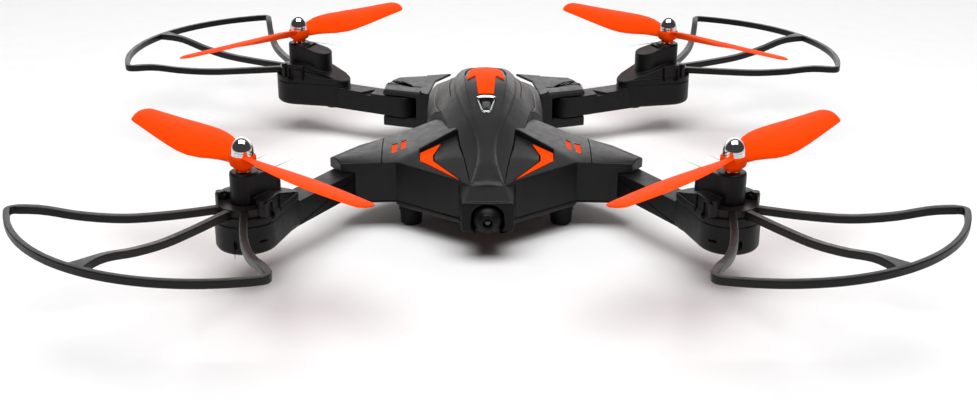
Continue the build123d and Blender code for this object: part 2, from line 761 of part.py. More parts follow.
with BuildPart() as battery_cap:
    with BuildSketch(Plane.XZ.offset(-BATTERY_END)):
        with Locations((0, (BATTERY_BOTTOM + BATTERY_TOP) / 2)):
            RectangleRounded(2 * BATTERY_HALF, BATTERY_TOP - BATTERY_BOTTOM, 1.2)
    extrude(amount=-CAP_LENGTH)
    chamfer(battery_cap.faces().sort_by(Axis.Y)[-1].edges(), 0.8)
    with BuildSketch(Plane.YZ.offset(-BATTERY_HALF)):
        for row in range(GRIP_ROWS):
            with Locations((BATTERY_END + CAP_LENGTH, BATTERY_BOTTOM + 4.0 + 2.4 * row)):
                Rectangle(1.2, 1.0)
    extrude(amount=2 * BATTERY_HALF, mode=Mode.SUBTRACT)
battery_cap.part.label = "battery_cap"
export_step(battery_cap.part, "parts/battery_cap.step")

# ------------------------------------------------------------------ folding arms
for arm in ARMS:
    with BuildPart() as arm_shell:
        with BuildSketch(arm.plane(ARM_BOTTOM)):
            Circle(POD_RADIUS)
            with Locations((-POD_REACH, 0)):
                Circle(POD_NECK)
            make_hull()
        extrude(amount=POD_PARTING - ARM_BOTTOM)
        fillet(arm_shell.faces().sort_by(Axis.Z)[0].edges(), 2.0)
        with BuildSketch(arm.plane(ARM_BOTTOM)):
            with Locations((-arm.length / 2, 0)):
                Rectangle(arm.length, ARM_WIDTH)
            with Locations((-arm.length, 0)):
                Circle(ARM_WIDTH / 2)
        extrude(amount=ARM_TOP - ARM_BOTTOM)
        with BuildSketch(arm.plane(ARM_BOTTOM + WALL)):
            Circle(GEAR_ROOM)
            with Locations((-AXLE_SPACING, 0)):
                Circle(PINION_ROOM)
            make_hull()
        extrude(amount=POD_PARTING, mode=Mode.SUBTRACT)
        with BuildSketch(arm.plane(ARM_BOTTOM + 1.0)):
            Circle(BUSH_RADIUS + 1.2)
        extrude(amount=LOWER_BUSH_TOP - ARM_BOTTOM - 1.0)
        with BuildSketch(arm.plane(ARM_BOTTOM + WALL)):
            Circle(BUSH_RADIUS)
        extrude(amount=PARTING, mode=Mode.SUBTRACT)
        with BuildSketch(arm.plane(ARM_BOTTOM)):
            with Locations((-arm.length, 0)):
                Circle(PIN_RADIUS + PIN_PLAY)
        extrude(amount=ARM_TOP - ARM_BOTTOM, mode=Mode.SUBTRACT)
    arm_shell.part.label = f"arm_shell_{arm.name}"
    export_step(arm_shell.part, f"parts/arm_shell_{arm.name}.step")

    with BuildPart() as motor_cover:
        with BuildSketch(arm.plane(POD_PARTING)):
            Circle(POD_RADIUS)
            with Locations((-POD_REACH, 0)):
                Circle(POD_NECK)
            make_hull()
        extrude(amount=POD_LEDGE - POD_PARTING)
        with BuildSketch(arm.plane(POD_LEDGE)):
            Circle(POD_RADIUS - 0.8)
            with Locations((-POD_REACH, 0)):
                Circle(POD_NECK)
            make_hull()
            with Locations((LEDGE_START, 0)):
                Rectangle(60, 40, align=(Align.MAX, Align.CENTER), mode=Mode.INTERSECT)
        extrude(amount=SHOULDER_TOP - POD_LEDGE)
        with BuildSketch(arm.side_plane()):
            Polygon((-7, SHOULDER_TOP), (-34, POD_PARTING - 0.2), (-34, 50), (-7, 50), align=None)
        extrude(amount=20, both=True, mode=Mode.SUBTRACT)
        with BuildSketch(arm.plane(POD_PARTING)):
            Circle(TOWER_RADIUS)
            with Locations((-AXLE_SPACING, 0)):
                Circle(BAY_RADIUS)
            make_hull()
        extrude(amount=BAY_TOP - POD_PARTING)
        with BuildSketch(arm.side_plane()):
            Polygon((-TOWER_RADIUS, BAY_TOP), (-20, BAY_END), (-20, 50), (-TOWER_RADIUS, 50), align=None)
        extrude(amount=20, both=True, mode=Mode.SUBTRACT)
        with BuildSketch(arm.plane(POD_PARTING)):
            Circle(TOWER_RADIUS)
        extrude(amount=TOWER_TOP - POD_PARTING)
        chamfer(motor_cover.faces().sort_by(Axis.Z)[-1].edges(), 0.5)
        with BuildSketch(arm.plane(POD_PARTING)):
            Circle(SHAFT_RADIUS + 0.6)
        extrude(amount=TOWER_TOP - POD_PARTING, mode=Mode.SUBTRACT)
        with BuildSketch(arm.plane(UPPER_BUSH_BOTTOM)):
            Circle(BUSH_RADIUS)
        extrude(amount=TOWER_TOP - UPPER_BUSH_BOTTOM, mode=Mode.SUBTRACT)
        with BuildSketch(arm.plane(POD_PARTING)):
            with Locations((-AXLE_SPACING, 0)):
                Circle(MOTOR_RADIUS)
        extrude(amount=MOTOR_BOTTOM + MOTOR_LENGTH - POD_PARTING, mode=Mode.SUBTRACT)
        with BuildSketch(arm.plane(POD_PARTING + 1.5)):
            with Locations((COOLING_X, POD_RADIUS), (COOLING_X, -POD_RADIUS)):
                Rectangle(2.4, 4.4)
        extrude(amount=6.0, mode=Mode.SUBTRACT)
    motor_cover.part.label = f"motor_cover_{arm.name}"
    export_step(motor_cover.part, f"parts/motor_cover_{arm.name}.step")

    with BuildPart() as prop_guard:
        with BuildSketch(arm.plane(POD_LEDGE)):
            with Locations((GUARD_OFFSET, 0)):
                Circle(GUARD_RADIUS)
                Circle(GUARD_RADIUS - GUARD_WIDTH, mode=Mode.SUBTRACT)
            edge = direction(GUARD_SPREAD + degrees_across(STRUT_WIDTH / 2)) * 1.8 * GUARD_RADIUS
            wedge = (
                (GUARD_OFFSET, 0),
                (GUARD_OFFSET + edge.X, -edge.Y),
                (2 * GUARD_RADIUS, 0),
                (GUARD_OFFSET + edge.X, edge.Y),
            )
            Polygon(*wedge, align=None, mode=Mode.INTERSECT)
            for turn in (-GUARD_SPREAD, 0, GUARD_SPREAD):
                Polygon(*strut_outline(turn), align=None)
            Circle(BRACKET_RADIUS)
            with Locations((0, BRACKET_RADIUS - 0.5), (0, 0.5 - BRACKET_RADIUS)):
                Circle(2.6)
            with Locations((LEDGE_START, 0)):
                Rectangle(60, 60, align=(Align.MAX, Align.CENTER), mode=Mode.SUBTRACT)
            Circle(TOWER_RADIUS, mode=Mode.SUBTRACT)
        extrude(amount=GUARD_TOP - POD_LEDGE)
        with BuildSketch(arm.side_plane()):
            with BuildLine():
                low = Spline(*STRUT_CURVE, tangents=((1, 0), (1, 0)))
                high = Spline(*[(r, z + GUARD_HEIGHT) for r, z in STRUT_CURVE], tangents=((1, 0), (1, 0)))
                Polyline(low @ 0, (0, POD_LEDGE), (0, POD_LEDGE + GUARD_HEIGHT), high @ 0)
                reach = GUARD_RADIUS + GUARD_OFFSET + 3
                Polyline(low @ 1, (reach, GUARD_TOP - GUARD_HEIGHT), (reach, GUARD_TOP), high @ 1)
            make_face()
        revolve(axis=Axis((arm.motor[0], arm.motor[1], 0), (0, 0, 1)), mode=Mode.INTERSECT)
    prop_guard.part.label = f"prop_guard_{arm.name}"
    export_step(prop_guard.part, f"parts/prop_guard_{arm.name}.step")

    with BuildPart() as motor:
        with BuildSketch(arm.plane(MOTOR_BOTTOM)):
            with Locations((-AXLE_SPACING, 0)):
                Circle(MOTOR_RADIUS)
        extrude(amount=MOTOR_LENGTH)
        with BuildSketch(arm.plane(MOTOR_BOTTOM)):
            with Locations((-AXLE_SPACING, 0)):
                Circle(PINION_SHAFT + 0.05)
        extrude(amount=MOTOR_SOCKET, mode=Mode.SUBTRACT)
    motor.part.label = f"motor_{arm.name}"
    export_step(motor.part, f"parts/motor_{arm.name}.step")

    with BuildPart() as shaft_bushes:
        with BuildSketch(arm.plane(ARM_BOTTOM + WALL)):
            Circle(BUSH_RADIUS)
            Circle(SHAFT_RADIUS + 0.03, mode=Mode.SUBTRACT)
        extrude(amount=LOWER_BUSH_TOP - ARM_BOTTOM - WALL)
        with BuildSketch(arm.plane(UPPER_BUSH_BOTTOM)):
            Circle(BUSH_RADIUS)
            Circle(SHAFT_RADIUS + 0.03, mode=Mode.SUBTRACT)
        extrude(amount=2.4)
    shaft_bushes.part.label = f"shaft_bushes_{arm.name}"
    export_step(shaft_bushes.part, f"parts/shaft_bushes_{arm.name}.step")

    with BuildPart() as motor_pinion:
        with BuildSketch(arm.plane(GEAR_BOTTOM - 0.3)):
            with Locations((-AXLE_SPACING, 0)):
                Polygon(*gear_outline(PINION_TEETH, 0), align=None)
        extrude(amount=GEAR_THICK + 0.6)
        with BuildSketch(arm.plane(GEAR_BOTTOM + GEAR_THICK)):
            with Locations((-AXLE_SPACING, 0)):
                Circle(PINION_SHAFT)
        extrude(amount=MOTOR_BOTTOM + MOTOR_SOCKET - 0.3 - GEAR_BOTTOM - GEAR_THICK)
    motor_pinion.part.label = f"motor_pinion_{arm.name}"
    export_step(motor_pinion.part, f"parts/motor_pinion_{arm.name}.step")

    with BuildPart() as drive_gear:
        with BuildSketch(arm.plane(GEAR_BOTTOM)):
            Polygon(*gear_outline(GEAR_TEETH, 180 / GEAR_TEETH), align=None)
            with PolarLocations(5.9, 6):
                Circle(1.7, mode=Mode.SUBTRACT)
        extrude(amount=GEAR_THICK)
        with BuildSketch(arm.plane(GEAR_BOTTOM - 0.6)):
            Circle(2.6)
        extrude(amount=GEAR_THICK + 1.2)
        with BuildSketch(arm.plane(SHAFT_BOTTOM)):
            Circle(SHAFT_RADIUS)
        extrude(amount=SHAFT_TOP - SHAFT_BOTTOM)
    drive_gear.part.label = f"drive_gear_{arm.name}"
    export_step(drive_gear.part, f"parts/drive_gear_{arm.name}.step")

    blade = direction(arm.blade_angle)
    hub_plane = Plane(
        origin=(arm.motor[0], arm.motor[1], 0),
        x_dir=(blade.X, blade.Y, 0),
        z_dir=(blade.Y, -blade.X, 0),
    )
    prop_axis = Axis((arm.motor[0], arm.motor[1], 0), (0, 0, 1))

    with BuildPart() as propeller:
        with BuildSketch(hub_plane):
            Polygon(
                (0, COLLAR_BOTTOM),
                (3.1, COLLAR_BOTTOM),
                (3.1, HUB_BOTTOM - 0.3),
                (4.2, HUB_BOTTOM),
                (5.0, HUB_BOTTOM + 1.2),
                (5.0, HUB_TOP - 0.7),
                (4.3, HUB_TOP),
                (0, HUB_TOP),
                align=None,
            )
        revolve(axis=prop_axis)
        for half_turn in (0, 180):
            span = direction(arm.blade_angle + half_turn)
            across = Vector(-span.Y, span.X)
            for radius, lead, trail, pitch, thick in BLADE:
                tilt = radians(pitch)
                chord_dir = across * cos(tilt) + Vector(0, 0, 1) * sin(tilt)
                axis_point = Vector(*arm.motor, PROP_HEIGHT) + span * radius
                centre = axis_point + chord_dir * (lead + trail) / 2
                with BuildSketch(Plane(origin=centre, x_dir=chord_dir, z_dir=span)):
                    Ellipse((lead - trail) / 2, thick / 2)
            loft()
        with BuildSketch(arm.plane(COLLAR_BOTTOM)):
            Circle(SHAFT_RADIUS)
        extrude(amount=SHAFT_TOP - COLLAR_BOTTOM, mode=Mode.SUBTRACT)
        if arm.spin < 0:
            mirror(about=hub_plane, mode=Mode.REPLACE)
    propeller.part.label = f"propeller_{arm.name}"
    export_step(propeller.part, f"parts/propeller_{arm.name}.step")

    with BuildPart() as spinner:
        with BuildSketch(hub_plane):
            with BuildLine():
                dome = Bezier(
                    (4.3, HUB_TOP + 0.8),
                    (4.3, HUB_TOP + 4.4),
                    (2.5, SPINNER_TOP),
                    (0, SPINNER_TOP),
                )
                Polyline(dome @ 1, (0, HUB_TOP), (4.3, HUB_TOP), dome @ 0)
            make_face()
        revolve(axis=prop_axis)
    spinner.part.label = f"spinner_{arm.name}"
    export_step(spinner.part, f"parts/spinner_{arm.name}.step")
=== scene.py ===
"""Looks of the folding camera drone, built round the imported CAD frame.

Lengths in this file are millimetres; new meshes are scaled to metres as they are made.
The nose faces -Y, +Z is up, and the origin is on the ground under the middle.
"""
import json
from math import atan2, cos, pi, radians, sin, tau

import bmesh
import bpy
import numpy as np
from mathutils import Euler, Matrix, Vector
from mathutils.geometry import delaunay_2d_cdt


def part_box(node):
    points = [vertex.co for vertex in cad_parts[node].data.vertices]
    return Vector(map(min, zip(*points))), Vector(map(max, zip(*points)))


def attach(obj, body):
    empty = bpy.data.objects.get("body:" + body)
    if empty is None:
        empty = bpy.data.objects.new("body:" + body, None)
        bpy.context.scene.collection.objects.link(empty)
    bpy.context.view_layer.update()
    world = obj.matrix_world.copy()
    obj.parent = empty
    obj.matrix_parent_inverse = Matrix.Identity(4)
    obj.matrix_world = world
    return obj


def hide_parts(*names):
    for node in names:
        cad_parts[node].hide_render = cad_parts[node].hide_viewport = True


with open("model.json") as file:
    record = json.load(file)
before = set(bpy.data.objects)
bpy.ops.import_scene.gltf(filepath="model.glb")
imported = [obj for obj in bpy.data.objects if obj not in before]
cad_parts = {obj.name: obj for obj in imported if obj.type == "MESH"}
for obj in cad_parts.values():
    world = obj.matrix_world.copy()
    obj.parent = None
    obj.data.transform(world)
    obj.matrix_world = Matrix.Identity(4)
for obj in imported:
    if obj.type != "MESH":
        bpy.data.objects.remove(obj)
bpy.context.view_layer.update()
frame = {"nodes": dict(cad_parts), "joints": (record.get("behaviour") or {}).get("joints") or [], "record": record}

MM = 0.001
SCENE = bpy.context.scene
ROUND_STEPS, ROUND_ANGLE = 3, 28     # of a moulded edge: facets, and bend in degrees
SCENE.view_settings.view_transform = "Standard"


# ------------------------------------------------------------------ materials
def shade(tree, kind, **sockets):
    """New shader node with some of its sockets or settings given."""
    node = tree.nodes.new("ShaderNode" + kind)
    for key, value in sockets.items():
        if hasattr(node, key):
            setattr(node, key, value)
        else:
            node.inputs[key.replace("_", " ")].default_value = value
    return node


def noise(tree, size, detail=2.0):
    """Three-dimensional noise whose blobs are about this many millimetres."""
    coords = shade(tree, "TexCoord")
    node = shade(tree, "TexNoise", Scale=1 / (size * MM), Detail=detail)
    tree.links.new(coords.outputs["Object"], node.inputs["Vector"])
    return node.outputs["Fac"]


def ranged(tree, value, low, high, start=0.3, stop=0.7):
    """A 0..1 value stretched to the range low..high."""
    node = shade(tree, "MapRange")
    limits = {"From Min": start, "From Max": stop, "To Min": low, "To Max": high}
    for socket, number in limits.items():
        node.inputs[socket].default_value = number
    tree.links.new(value, node.inputs["Value"])
    return node.outputs["Result"]


def blended(tree, factor, first, second):
    """Colour that goes from the first to the second as the factor rises."""
    node = shade(tree, "MixRGB")
    tree.links.new(factor, node.inputs["Fac"])
    for socket, colour in (("Color1", first), ("Color2", second)):
        if isinstance(colour, tuple):
            node.inputs[socket].default_value = (*colour, 1)
        else:
            tree.links.new(colour, node.inputs[socket])
    return node.outputs["Color"]


def scaled(colour, factor):
    """A colour made lighter or darker."""
    return tuple(min(1.0, channel * factor) for channel in colour)


def surface(name, colour, rough, specular=0.5, metallic=0.0, grain=0.3, bump=0.2,
            mottle=0.12, wear_and_highlight=0.0, coat=0.0):
    """Moulded or turned surface: fine grain, soft mottling, and sharp convex edges made lighter, partly as rubbed
    wear and partly as a painted highlight.
    """
    material = bpy.data.materials.new(name)
    material.use_nodes = True
    tree = material.node_tree
    shader = tree.nodes["Principled BSDF"]
    shader.inputs["Metallic"].default_value = metallic
    shader.inputs["Specular IOR Level"].default_value = specular
    shader.inputs["Coat Weight"].default_value = coat
    shader.inputs["Coat Roughness"].default_value = 0.08
    patches = ranged(tree, noise(tree, 14.0, 3.0), 0.0, 1.0)
    tone = blended(tree, patches, scaled(colour, 1 - mottle), scaled(colour, 1 + mottle))
    # Painted highlight mixed with wear: convex edges, found by pointiness, get a lighter base colour.
    if wear_and_highlight:
        edge = tree.nodes.new("ShaderNodeNewGeometry").outputs["Pointiness"]
        rubbed_and_highlit = ranged(tree, edge, 0.0, wear_and_highlight, 0.52, 0.60)
        tone = blended(tree, rubbed_and_highlit, tone, scaled(colour, 2.2))
    tree.links.new(tone, shader.inputs["Base Color"])
    tree.links.new(
        ranged(tree, noise(tree, 3.0), rough - 0.05, rough + 0.05), shader.inputs["Roughness"]
    )
    relief = shade(tree, "Bump", Strength=bump, Distance=0.05 * MM)
    tree.links.new(noise(tree, grain), relief.inputs["Height"])
    tree.links.new(relief.outputs["Normal"], shader.inputs["Normal"])
    return material


def see_through(name, colour, coat=1.0):
    """Tinted glass or clear plastic with a coating."""
    material = surface(name, colour, 0.08, 0.5, grain=0.8, bump=0.03, mottle=0.05, coat=coat)
    shader = material.node_tree.nodes["Principled BSDF"]
    shader.inputs["IOR"].default_value = 1.5
    return material


GRAPHITE = (0.0082, 0.0082, 0.0084)
BLACK = (0.0052, 0.0052, 0.0054)
ORANGE = (0.95, 0.060, 0.0)

LOOKS = {
    "shell_plastic": surface("shell_plastic", GRAPHITE, 0.42, 0.19, wear_and_highlight=0.35),
    "hood_plastic": surface("hood_plastic", scaled(GRAPHITE, 1.05), 0.40, 0.24, wear_and_highlight=0.2),
    "black_plastic": surface("black_plastic", BLACK, 0.42, 0.14, wear_and_highlight=0.3),
    "arm_plastic": surface("arm_plastic", BLACK, 0.44, 0.18, wear_and_highlight=0.4),
    "guard_plastic": surface("guard_plastic", (0.008, 0.0072, 0.007), 0.40, 0.2, wear_and_highlight=0.3),
    "orange_trim": surface("orange_trim", ORANGE, 0.6, 0.02, grain=0.4, mottle=0.04),
    "prop_plastic": surface("prop_plastic", ORANGE, 0.6, 0.03, grain=0.5, mottle=0.04),
    "chrome": surface("chrome", (0.72, 0.72, 0.74), 0.07, 0.5, 1.0, 0.6, 0.03, 0.04),
    "steel": surface("steel", (0.52, 0.52, 0.54), 0.3, 0.5, 1.0, 0.25, 0.25, 0.08),
    "brass": surface("brass", (0.72, 0.5, 0.22), 0.28, 0.5, 1.0, 0.3, 0.2, 0.1),
    "gear_nylon": surface("gear_nylon", (0.78, 0.76, 0.7), 0.5, 0.4, mottle=0.05),
    "motor_can": surface("motor_can", (0.55, 0.55, 0.57), 0.33, 0.5, 1.0, 0.3, 0.2, 0.08),
    "circuit_board": surface("circuit_board", (0.012, 0.12, 0.04), 0.35, 0.5, mottle=0.25),
    "battery_wrap": surface("battery_wrap", (0.02, 0.03, 0.07), 0.3, 0.5, grain=1.5, bump=0.4),
    "button_plastic": see_through("button_plastic", (0.006, 0.006, 0.007), 0.3),
    "foot_rubber": surface("foot_rubber", (0.007, 0.007, 0.007), 0.7, 0.2, grain=0.35, bump=0.5),
    "lens_glass": see_through("lens_glass", (0.004, 0.004, 0.009), 0.3),
}


# ------------------------------------------------------------- plan geometry
def as_points(line):
    """A list of plan points as an array."""
    return np.array(line, float)[:, :2]


def mirrored_outline(half):
    """Closed outline from its right half, given from nose to tail."""
    half = [tuple(point) for point in half]
    return half + [(-x, y) for x, y in reversed(half)]


def resample(line, step, closed=False):
    """The line with extra points, so that none of its runs is longer than step."""
    line = as_points(line)
    ends = np.roll(line, -1, 0) if closed else line[1:]
    out = []
    for start, end in zip(line, ends):
        count = max(1, int(np.ceil(np.linalg.norm(end - start) / step)))
        out.extend(start + (end - start) * share for share in np.arange(count) / count)
    if not closed:
        out.append(line[-1])
    return np.array(out)


def inside(points, outline):
    """Which points lie inside a closed outline."""
    x, y = points[:, 0], points[:, 1]
    result = np.zeros(len(points), bool)
    previous = outline[-1]
    for corner in outline:
        crosses = (corner[1] > y) != (previous[1] > y)
        with np.errstate(divide="ignore", invalid="ignore"):
            reach = (previous[0] - corner[0]) * (y - corner[1]) / (previous[1] - corner[1])
        result ^= crosses & (x < reach + corner[0])
        previous = corner
    return result


def distance(points, line, closed=False):
    """Distance of each point from a line."""
    line = as_points(line)
    starts = line if closed else line[:-1]
    ends = np.roll(line, -1, 0) if closed else line[1:]
    nearest = np.full(len(points), 1e9)
    for start, end in zip(starts, ends):
        run = end - start
        share = np.clip((points - start) @ run / max(run @ run, 1e-12), 0, 1)
        gap = np.linalg.norm(points - start - share[:, None] * run, axis=1)
        nearest = np.minimum(nearest, gap)
    return nearest


def shifted(line, amount, closed=False):
    """The line moved to its left by an amount, with mitred corners."""
    line = as_points(line)
    if closed:
        before, after = np.roll(line, 1, 0), np.roll(line, -1, 0)
    else:
        before = np.vstack([2 * line[0] - line[1], line[:-1]])
        after = np.vstack([line[1:], 2 * line[-1] - line[-2]])
    normals = []
    for run in (line - before, after - line):
        run = run / np.maximum(np.linalg.norm(run, axis=1), 1e-9)[:, None]
        normals.append(np.column_stack([-run[:, 1], run[:, 0]]))
    middle = normals[0] + normals[1]
    size = np.maximum((middle**2).sum(1), 0.8)
    return line + amount * 2 * middle / size[:, None]


def anticlockwise(outline):
    """The outline, turned round if it ran clockwise."""
    outline = as_points(outline)
    x, y = outline.T
    area = np.sum(x * np.roll(y, -1) - np.roll(x, -1) * y)
    return outline if area > 0 else outline[::-1]


def hermite(at, places, values):
    """Smooth curve through values at places, read at the points asked for."""
    places, values = np.array(places, float), np.array(values, float)
    slopes = np.gradient(values, places)
    at = np.clip(at, places[0], places[-1])
    span = np.clip(np.searchsorted(places, at) - 1, 0, len(places) - 2)
    width = places[span + 1] - places[span]
    t = (at - places[span]) / width
    rise = values[span + 1] - values[span]
    first = slopes[span] * width
    last = slopes[span + 1] * width
    square, cube = 3 * rise - 2 * first - last, first + last - 2 * rise
    return values[span] + t * (first + t * (square + t * cube))


# --------------------------------------------------------------- mesh helpers
class Shape:
    """Points in millimetres and faces, before they become a Blender object."""

    def __init__(self, points=(), faces=()):
        self.points = [tuple(map(float, point)) for point in points]
        self.faces = [tuple(face) for face in faces]

    def __add__(self, other):
        start = len(self.points)
        moved = [tuple(index + start for index in face) for face in other.faces]
        return Shape(self.points + other.points, self.faces + moved)

    def mirror(self):
        """The same shape on the other side of the machine."""
        return Shape(
            [(-x, y, z) for x, y, z in self.points],
            [face[::-1] for face in self.faces],
        )

    def placed(self, place):
        """The shape with each of its points moved by a function."""
        return Shape([place(*point) for point in self.points], self.faces)


def skin(rings, closed=False):
    """Faces between rings of points, with flat ends unless the rings close up."""
    count = len(rings[0])
    points = [point for ring in rings for point in ring]
    faces = []
    last = len(rings) if closed else len(rings) - 1
    for level in range(last):
        low, high = level * count, (level + 1) % len(rings) * count
        for index in range(count):
            after = (index + 1) % count
            faces.append((low + index, low + after, high + after, high + index))
    if not closed:
        faces.append(tuple(range(count))[::-1])
        faces.append(tuple(range((len(rings) - 1) * count, len(rings) * count)))
    return Shape(points, faces)


def prism(outline, low, high):
    """Upright prism on a plan outline."""
    outline = anticlockwise(outline)
    return skin([[(x, y, z) for x, y in outline] for z in (low, high)])


def round_outline(x, y, radius, count):
    """Regular outline of this many corners round a point."""
    turns = [tau * k / count for k in range(count)]
    return [(x + radius * cos(turn), y + radius * sin(turn)) for turn in turns]


def turned(profile, centre=(0, 0), steps=48):
    """Solid of revolution about an upright axis, from (radius, height) points."""
    rings = []
    for radius, height in profile:
        circle = round_outline(*centre, max(radius, 0.02), steps)
        rings.append([(x, y, height) for x, y in circle])
    return skin(rings)


def plate(outline, top, bottom, rim=0.4, step=2.0, grooves=()):
    """Solid under a curved top: rounded rim, upright walls and V grooves.

    A groove is (line, width, depth); top gives the height for arrays of x and y.
    """
    outline = anticlockwise(outline)
    edge = resample(outline, step, True)
    lines = [(edge, True)]
    lines += [(shifted(edge, rim * share, True), True) for share in (0.12, 0.45, 1.0)]
    for line, width, _ in grooves:
        fine = resample(line, step * 0.6)
        lines += [(shifted(fine, width * side), False) for side in (-0.5, 0.0, 0.5)]
    low, high = outline.min(0), outline.max(0)
    across, along = np.meshgrid(
        np.arange(low[0] + step / 2, high[0], step), np.arange(low[1] + step / 2, high[1], step)
    )
    across[::2] += step / 2
    grid = np.column_stack([across.ravel(), along.ravel()])
    keep = inside(grid, outline)
    for line, closed in lines:
        keep &= distance(grid, line, closed) > 0.45 * step
    points, edges = [Vector(point) for point in grid[keep]], []
    for line, closed in lines:
        start = len(points)
        points += [Vector(point) for point in line]
        edges += [(start + k, start + k + 1) for k in range(len(line) - 1)]
        if closed:
            edges.append((start + len(line) - 1, start))
    made, _, triangles, *_ = delaunay_2d_cdt(points, edges, [], 0, 1e-4)
    plan = np.array([tuple(point) for point in made])
    triangles = np.array(triangles)
    triangles = triangles[inside(plan[triangles].mean(1), edge)]
    used = np.unique(triangles)
    renumber = np.full(len(plan), -1)
    renumber[used] = np.arange(len(used))
    plan, triangles = plan[used], renumber[triangles]
    corners = plan[triangles]
    first, second = corners[:, 1] - corners[:, 0], corners[:, 2] - corners[:, 0]
    clockwise = first[:, 0] * second[:, 1] - first[:, 1] * second[:, 0] < 0
    triangles[clockwise] = triangles[clockwise][:, ::-1]
    height = top(plan[:, 0], plan[:, 1])
    near = np.clip(distance(plan, edge, True) / rim, 0, 1)
    height = height - rim * (1 - np.sqrt(np.clip(1 - (1 - near) ** 2, 0, 1)))
    for line, width, depth in grooves:
        height = height - depth * np.clip(1 - 2 * distance(plan, line) / width, 0, 1)
    if callable(bottom):
        floor = bottom(plan[:, 0], plan[:, 1])
    else:
        floor = np.full(len(plan), float(bottom))
    floor = np.minimum(floor, height - 0.05)
    count = len(plan)
    solid = [(x, y, z) for (x, y), z in zip(plan, height)]
    solid += [(x, y, z) for (x, y), z in zip(plan, floor)]
    faces = [tuple(face) for face in triangles]
    faces += [tuple(face[::-1] + count) for face in triangles]
    directed = {(int(a), int(b)) for face in triangles for a, b in zip(face, np.roll(face, -1))}
    rim_edges = [(a, b) for a, b in directed if (b, a) not in directed]
    faces += [(b, a, a + count, b + count) for a, b in sorted(rim_edges)]
    return Shape(solid, faces)


def make(name, shape, look):
    """Blender object for a shape, in metres."""
    mesh = bpy.data.meshes.new(name)
    mesh.from_pydata([tuple(c * MM for c in point) for point in shape.points], [], shape.faces)
    mesh.validate()
    piece = bpy.data.objects.new(name, mesh)
    SCENE.collection.objects.link(piece)
    mesh.materials.append(LOOKS[look])
    piece["look"] = look
    tidy(piece)
    return piece


def tidy(piece, merge=0.002):
    """Merge doubled points and turn every face outward."""
    mesh = bmesh.new()
    mesh.from_mesh(piece.data)
    bmesh.ops.remove_doubles(mesh, verts=mesh.verts, dist=merge * MM)
    bmesh.ops.recalc_face_normals(mesh, faces=mesh.faces)
    mesh.to_mesh(piece.data)
    mesh.free()


def bake(piece):
    """Keep what the piece's modifiers give, and drop the modifiers."""
    graph = bpy.context.evaluated_depsgraph_get()
    finished = bpy.data.meshes.new_from_object(piece.evaluated_get(graph))
    piece.modifiers.clear()
    piece.data = finished


def combine(piece, shapes, operation):
    """Boolean of the piece with each shape in turn."""
    for shape in shapes:
        tool = make("tool", shape, piece["look"])
        change = piece.modifiers.new("combine", "BOOLEAN")
        change.operation = operation
        change.solver = "EXACT"
        change.object = tool
        bake(piece)
        bpy.data.objects.remove(tool)
    return piece


def carve(piece, *shapes):
    """Cut the shapes out of the piece."""
    return combine(piece, shapes, "DIFFERENCE")


def unite(piece, *shapes):
    """Join the shapes to the piece."""
    return combine(piece, shapes, "UNION")


def soften(piece, width=0.4):
    """Round the sharp edges, as a mould does."""
    flatten(piece)
    change = piece.modifiers.new("round", "BEVEL")
    change.width = width * MM
    change.segments = ROUND_STEPS
    change.limit_method = "ANGLE"
    change.angle_limit = radians(ROUND_ANGLE)
    change.use_clamp_overlap = False
    change.miter_outer = "MITER_ARC"
    bake(piece)
    return piece


def flatten(piece, angle=1.0):
    """Merge the coplanar faces that booleans and tessellation leave."""
    mesh = bmesh.new()
    mesh.from_mesh(piece.data)
    bmesh.ops.remove_doubles(mesh, verts=mesh.verts, dist=0.01 * MM)
    bmesh.ops.dissolve_limit(
        mesh, angle_limit=radians(angle), verts=mesh.verts, edges=mesh.edges
    )
    mesh.to_mesh(piece.data)
    mesh.free()


def copied(name, node, look):
    """New object with the shape of a CAD node, ready to be refined."""
    source = frame["nodes"][node].data
    shape = Shape(
        [tuple(c / MM for c in vertex.co) for vertex in source.vertices],
        [tuple(face.vertices) for face in source.polygons],
    )
    return make(name, shape, look)


def finish(piece, body, nodes=(), smooth=40):
    """Shade the piece, hang it on its body and hide the CAD nodes it stands for."""
    piece.data.shade_smooth()
    piece.data.set_sharp_from_angle(angle=radians(smooth))
    settle = piece.modifiers.new("even", "WEIGHTED_NORMAL")
    settle.keep_sharp = True
    bake(piece)
    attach(piece, body)
    if nodes:
        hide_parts(*nodes)
    return piece


# ------------------------------------------------------------------ the frame
PLACES = {
    joint["name"]: Vector(joint["pos_m"]) / MM for joint in frame["joints"] if "pos_m" in joint
}


class Arm:
    """One folding arm, with a local frame: outward, to the left of outward, up."""

    def __init__(self, name):
        self.name = name
        self.motor = PLACES["spin_" + name]
        self.pivot = PLACES["fold_" + name]
        run = self.motor - self.pivot
        self.length = run.xy.length
        self.out = run.xy.normalized()
        self.side = Vector((-self.out.y, self.out.x))

    def place(self, outward, left, height):
        """Row-frame point from one measured from the propeller axis."""
        flat = self.motor.xy + self.out * outward + self.side * left
        return (flat.x, flat.y, height)

    def outline(self, points):
        """Plan points measured from the propeller axis, in the row frame."""
        return [self.place(x, y, 0)[:2] for x, y in points]


ARMS = [Arm(name) for name in ("front_left", "front_right", "rear_left", "rear_right")]

# ------------------------------------------------------------ body: main lines
DECK = 30.0
PARTING = 13.0
SLOT_LOW, SLOT_HIGH = 15.0, 25.8
SLOT_SIDE = 6.0
FOLD_SWING = 74.0

HEEL, REAR, TIP = (36.0, -3.5), (54.8, -20.0), (65.7, -35.2)
TOE, ROOT, SHOULDER = (60.6, -43.2), (37.8, -41.9), (11.6, -61.7)
KNEE = (25.8, 7.0)
RIDGE = (19.7, -2.8)
LIP_IN, LIP_OUT = (12.3, -24.6), (28.1, -34.2)
FANG_OUT, FANG_TIP = (27.8, -43.6), (11.2, -61.2)
CHEVRON = [(19.4, -31.0), (28.0, -35.2), (27.6, -43.5), (11.4, -60.8), (22.2, -45.2), (22.5, -40.0)]

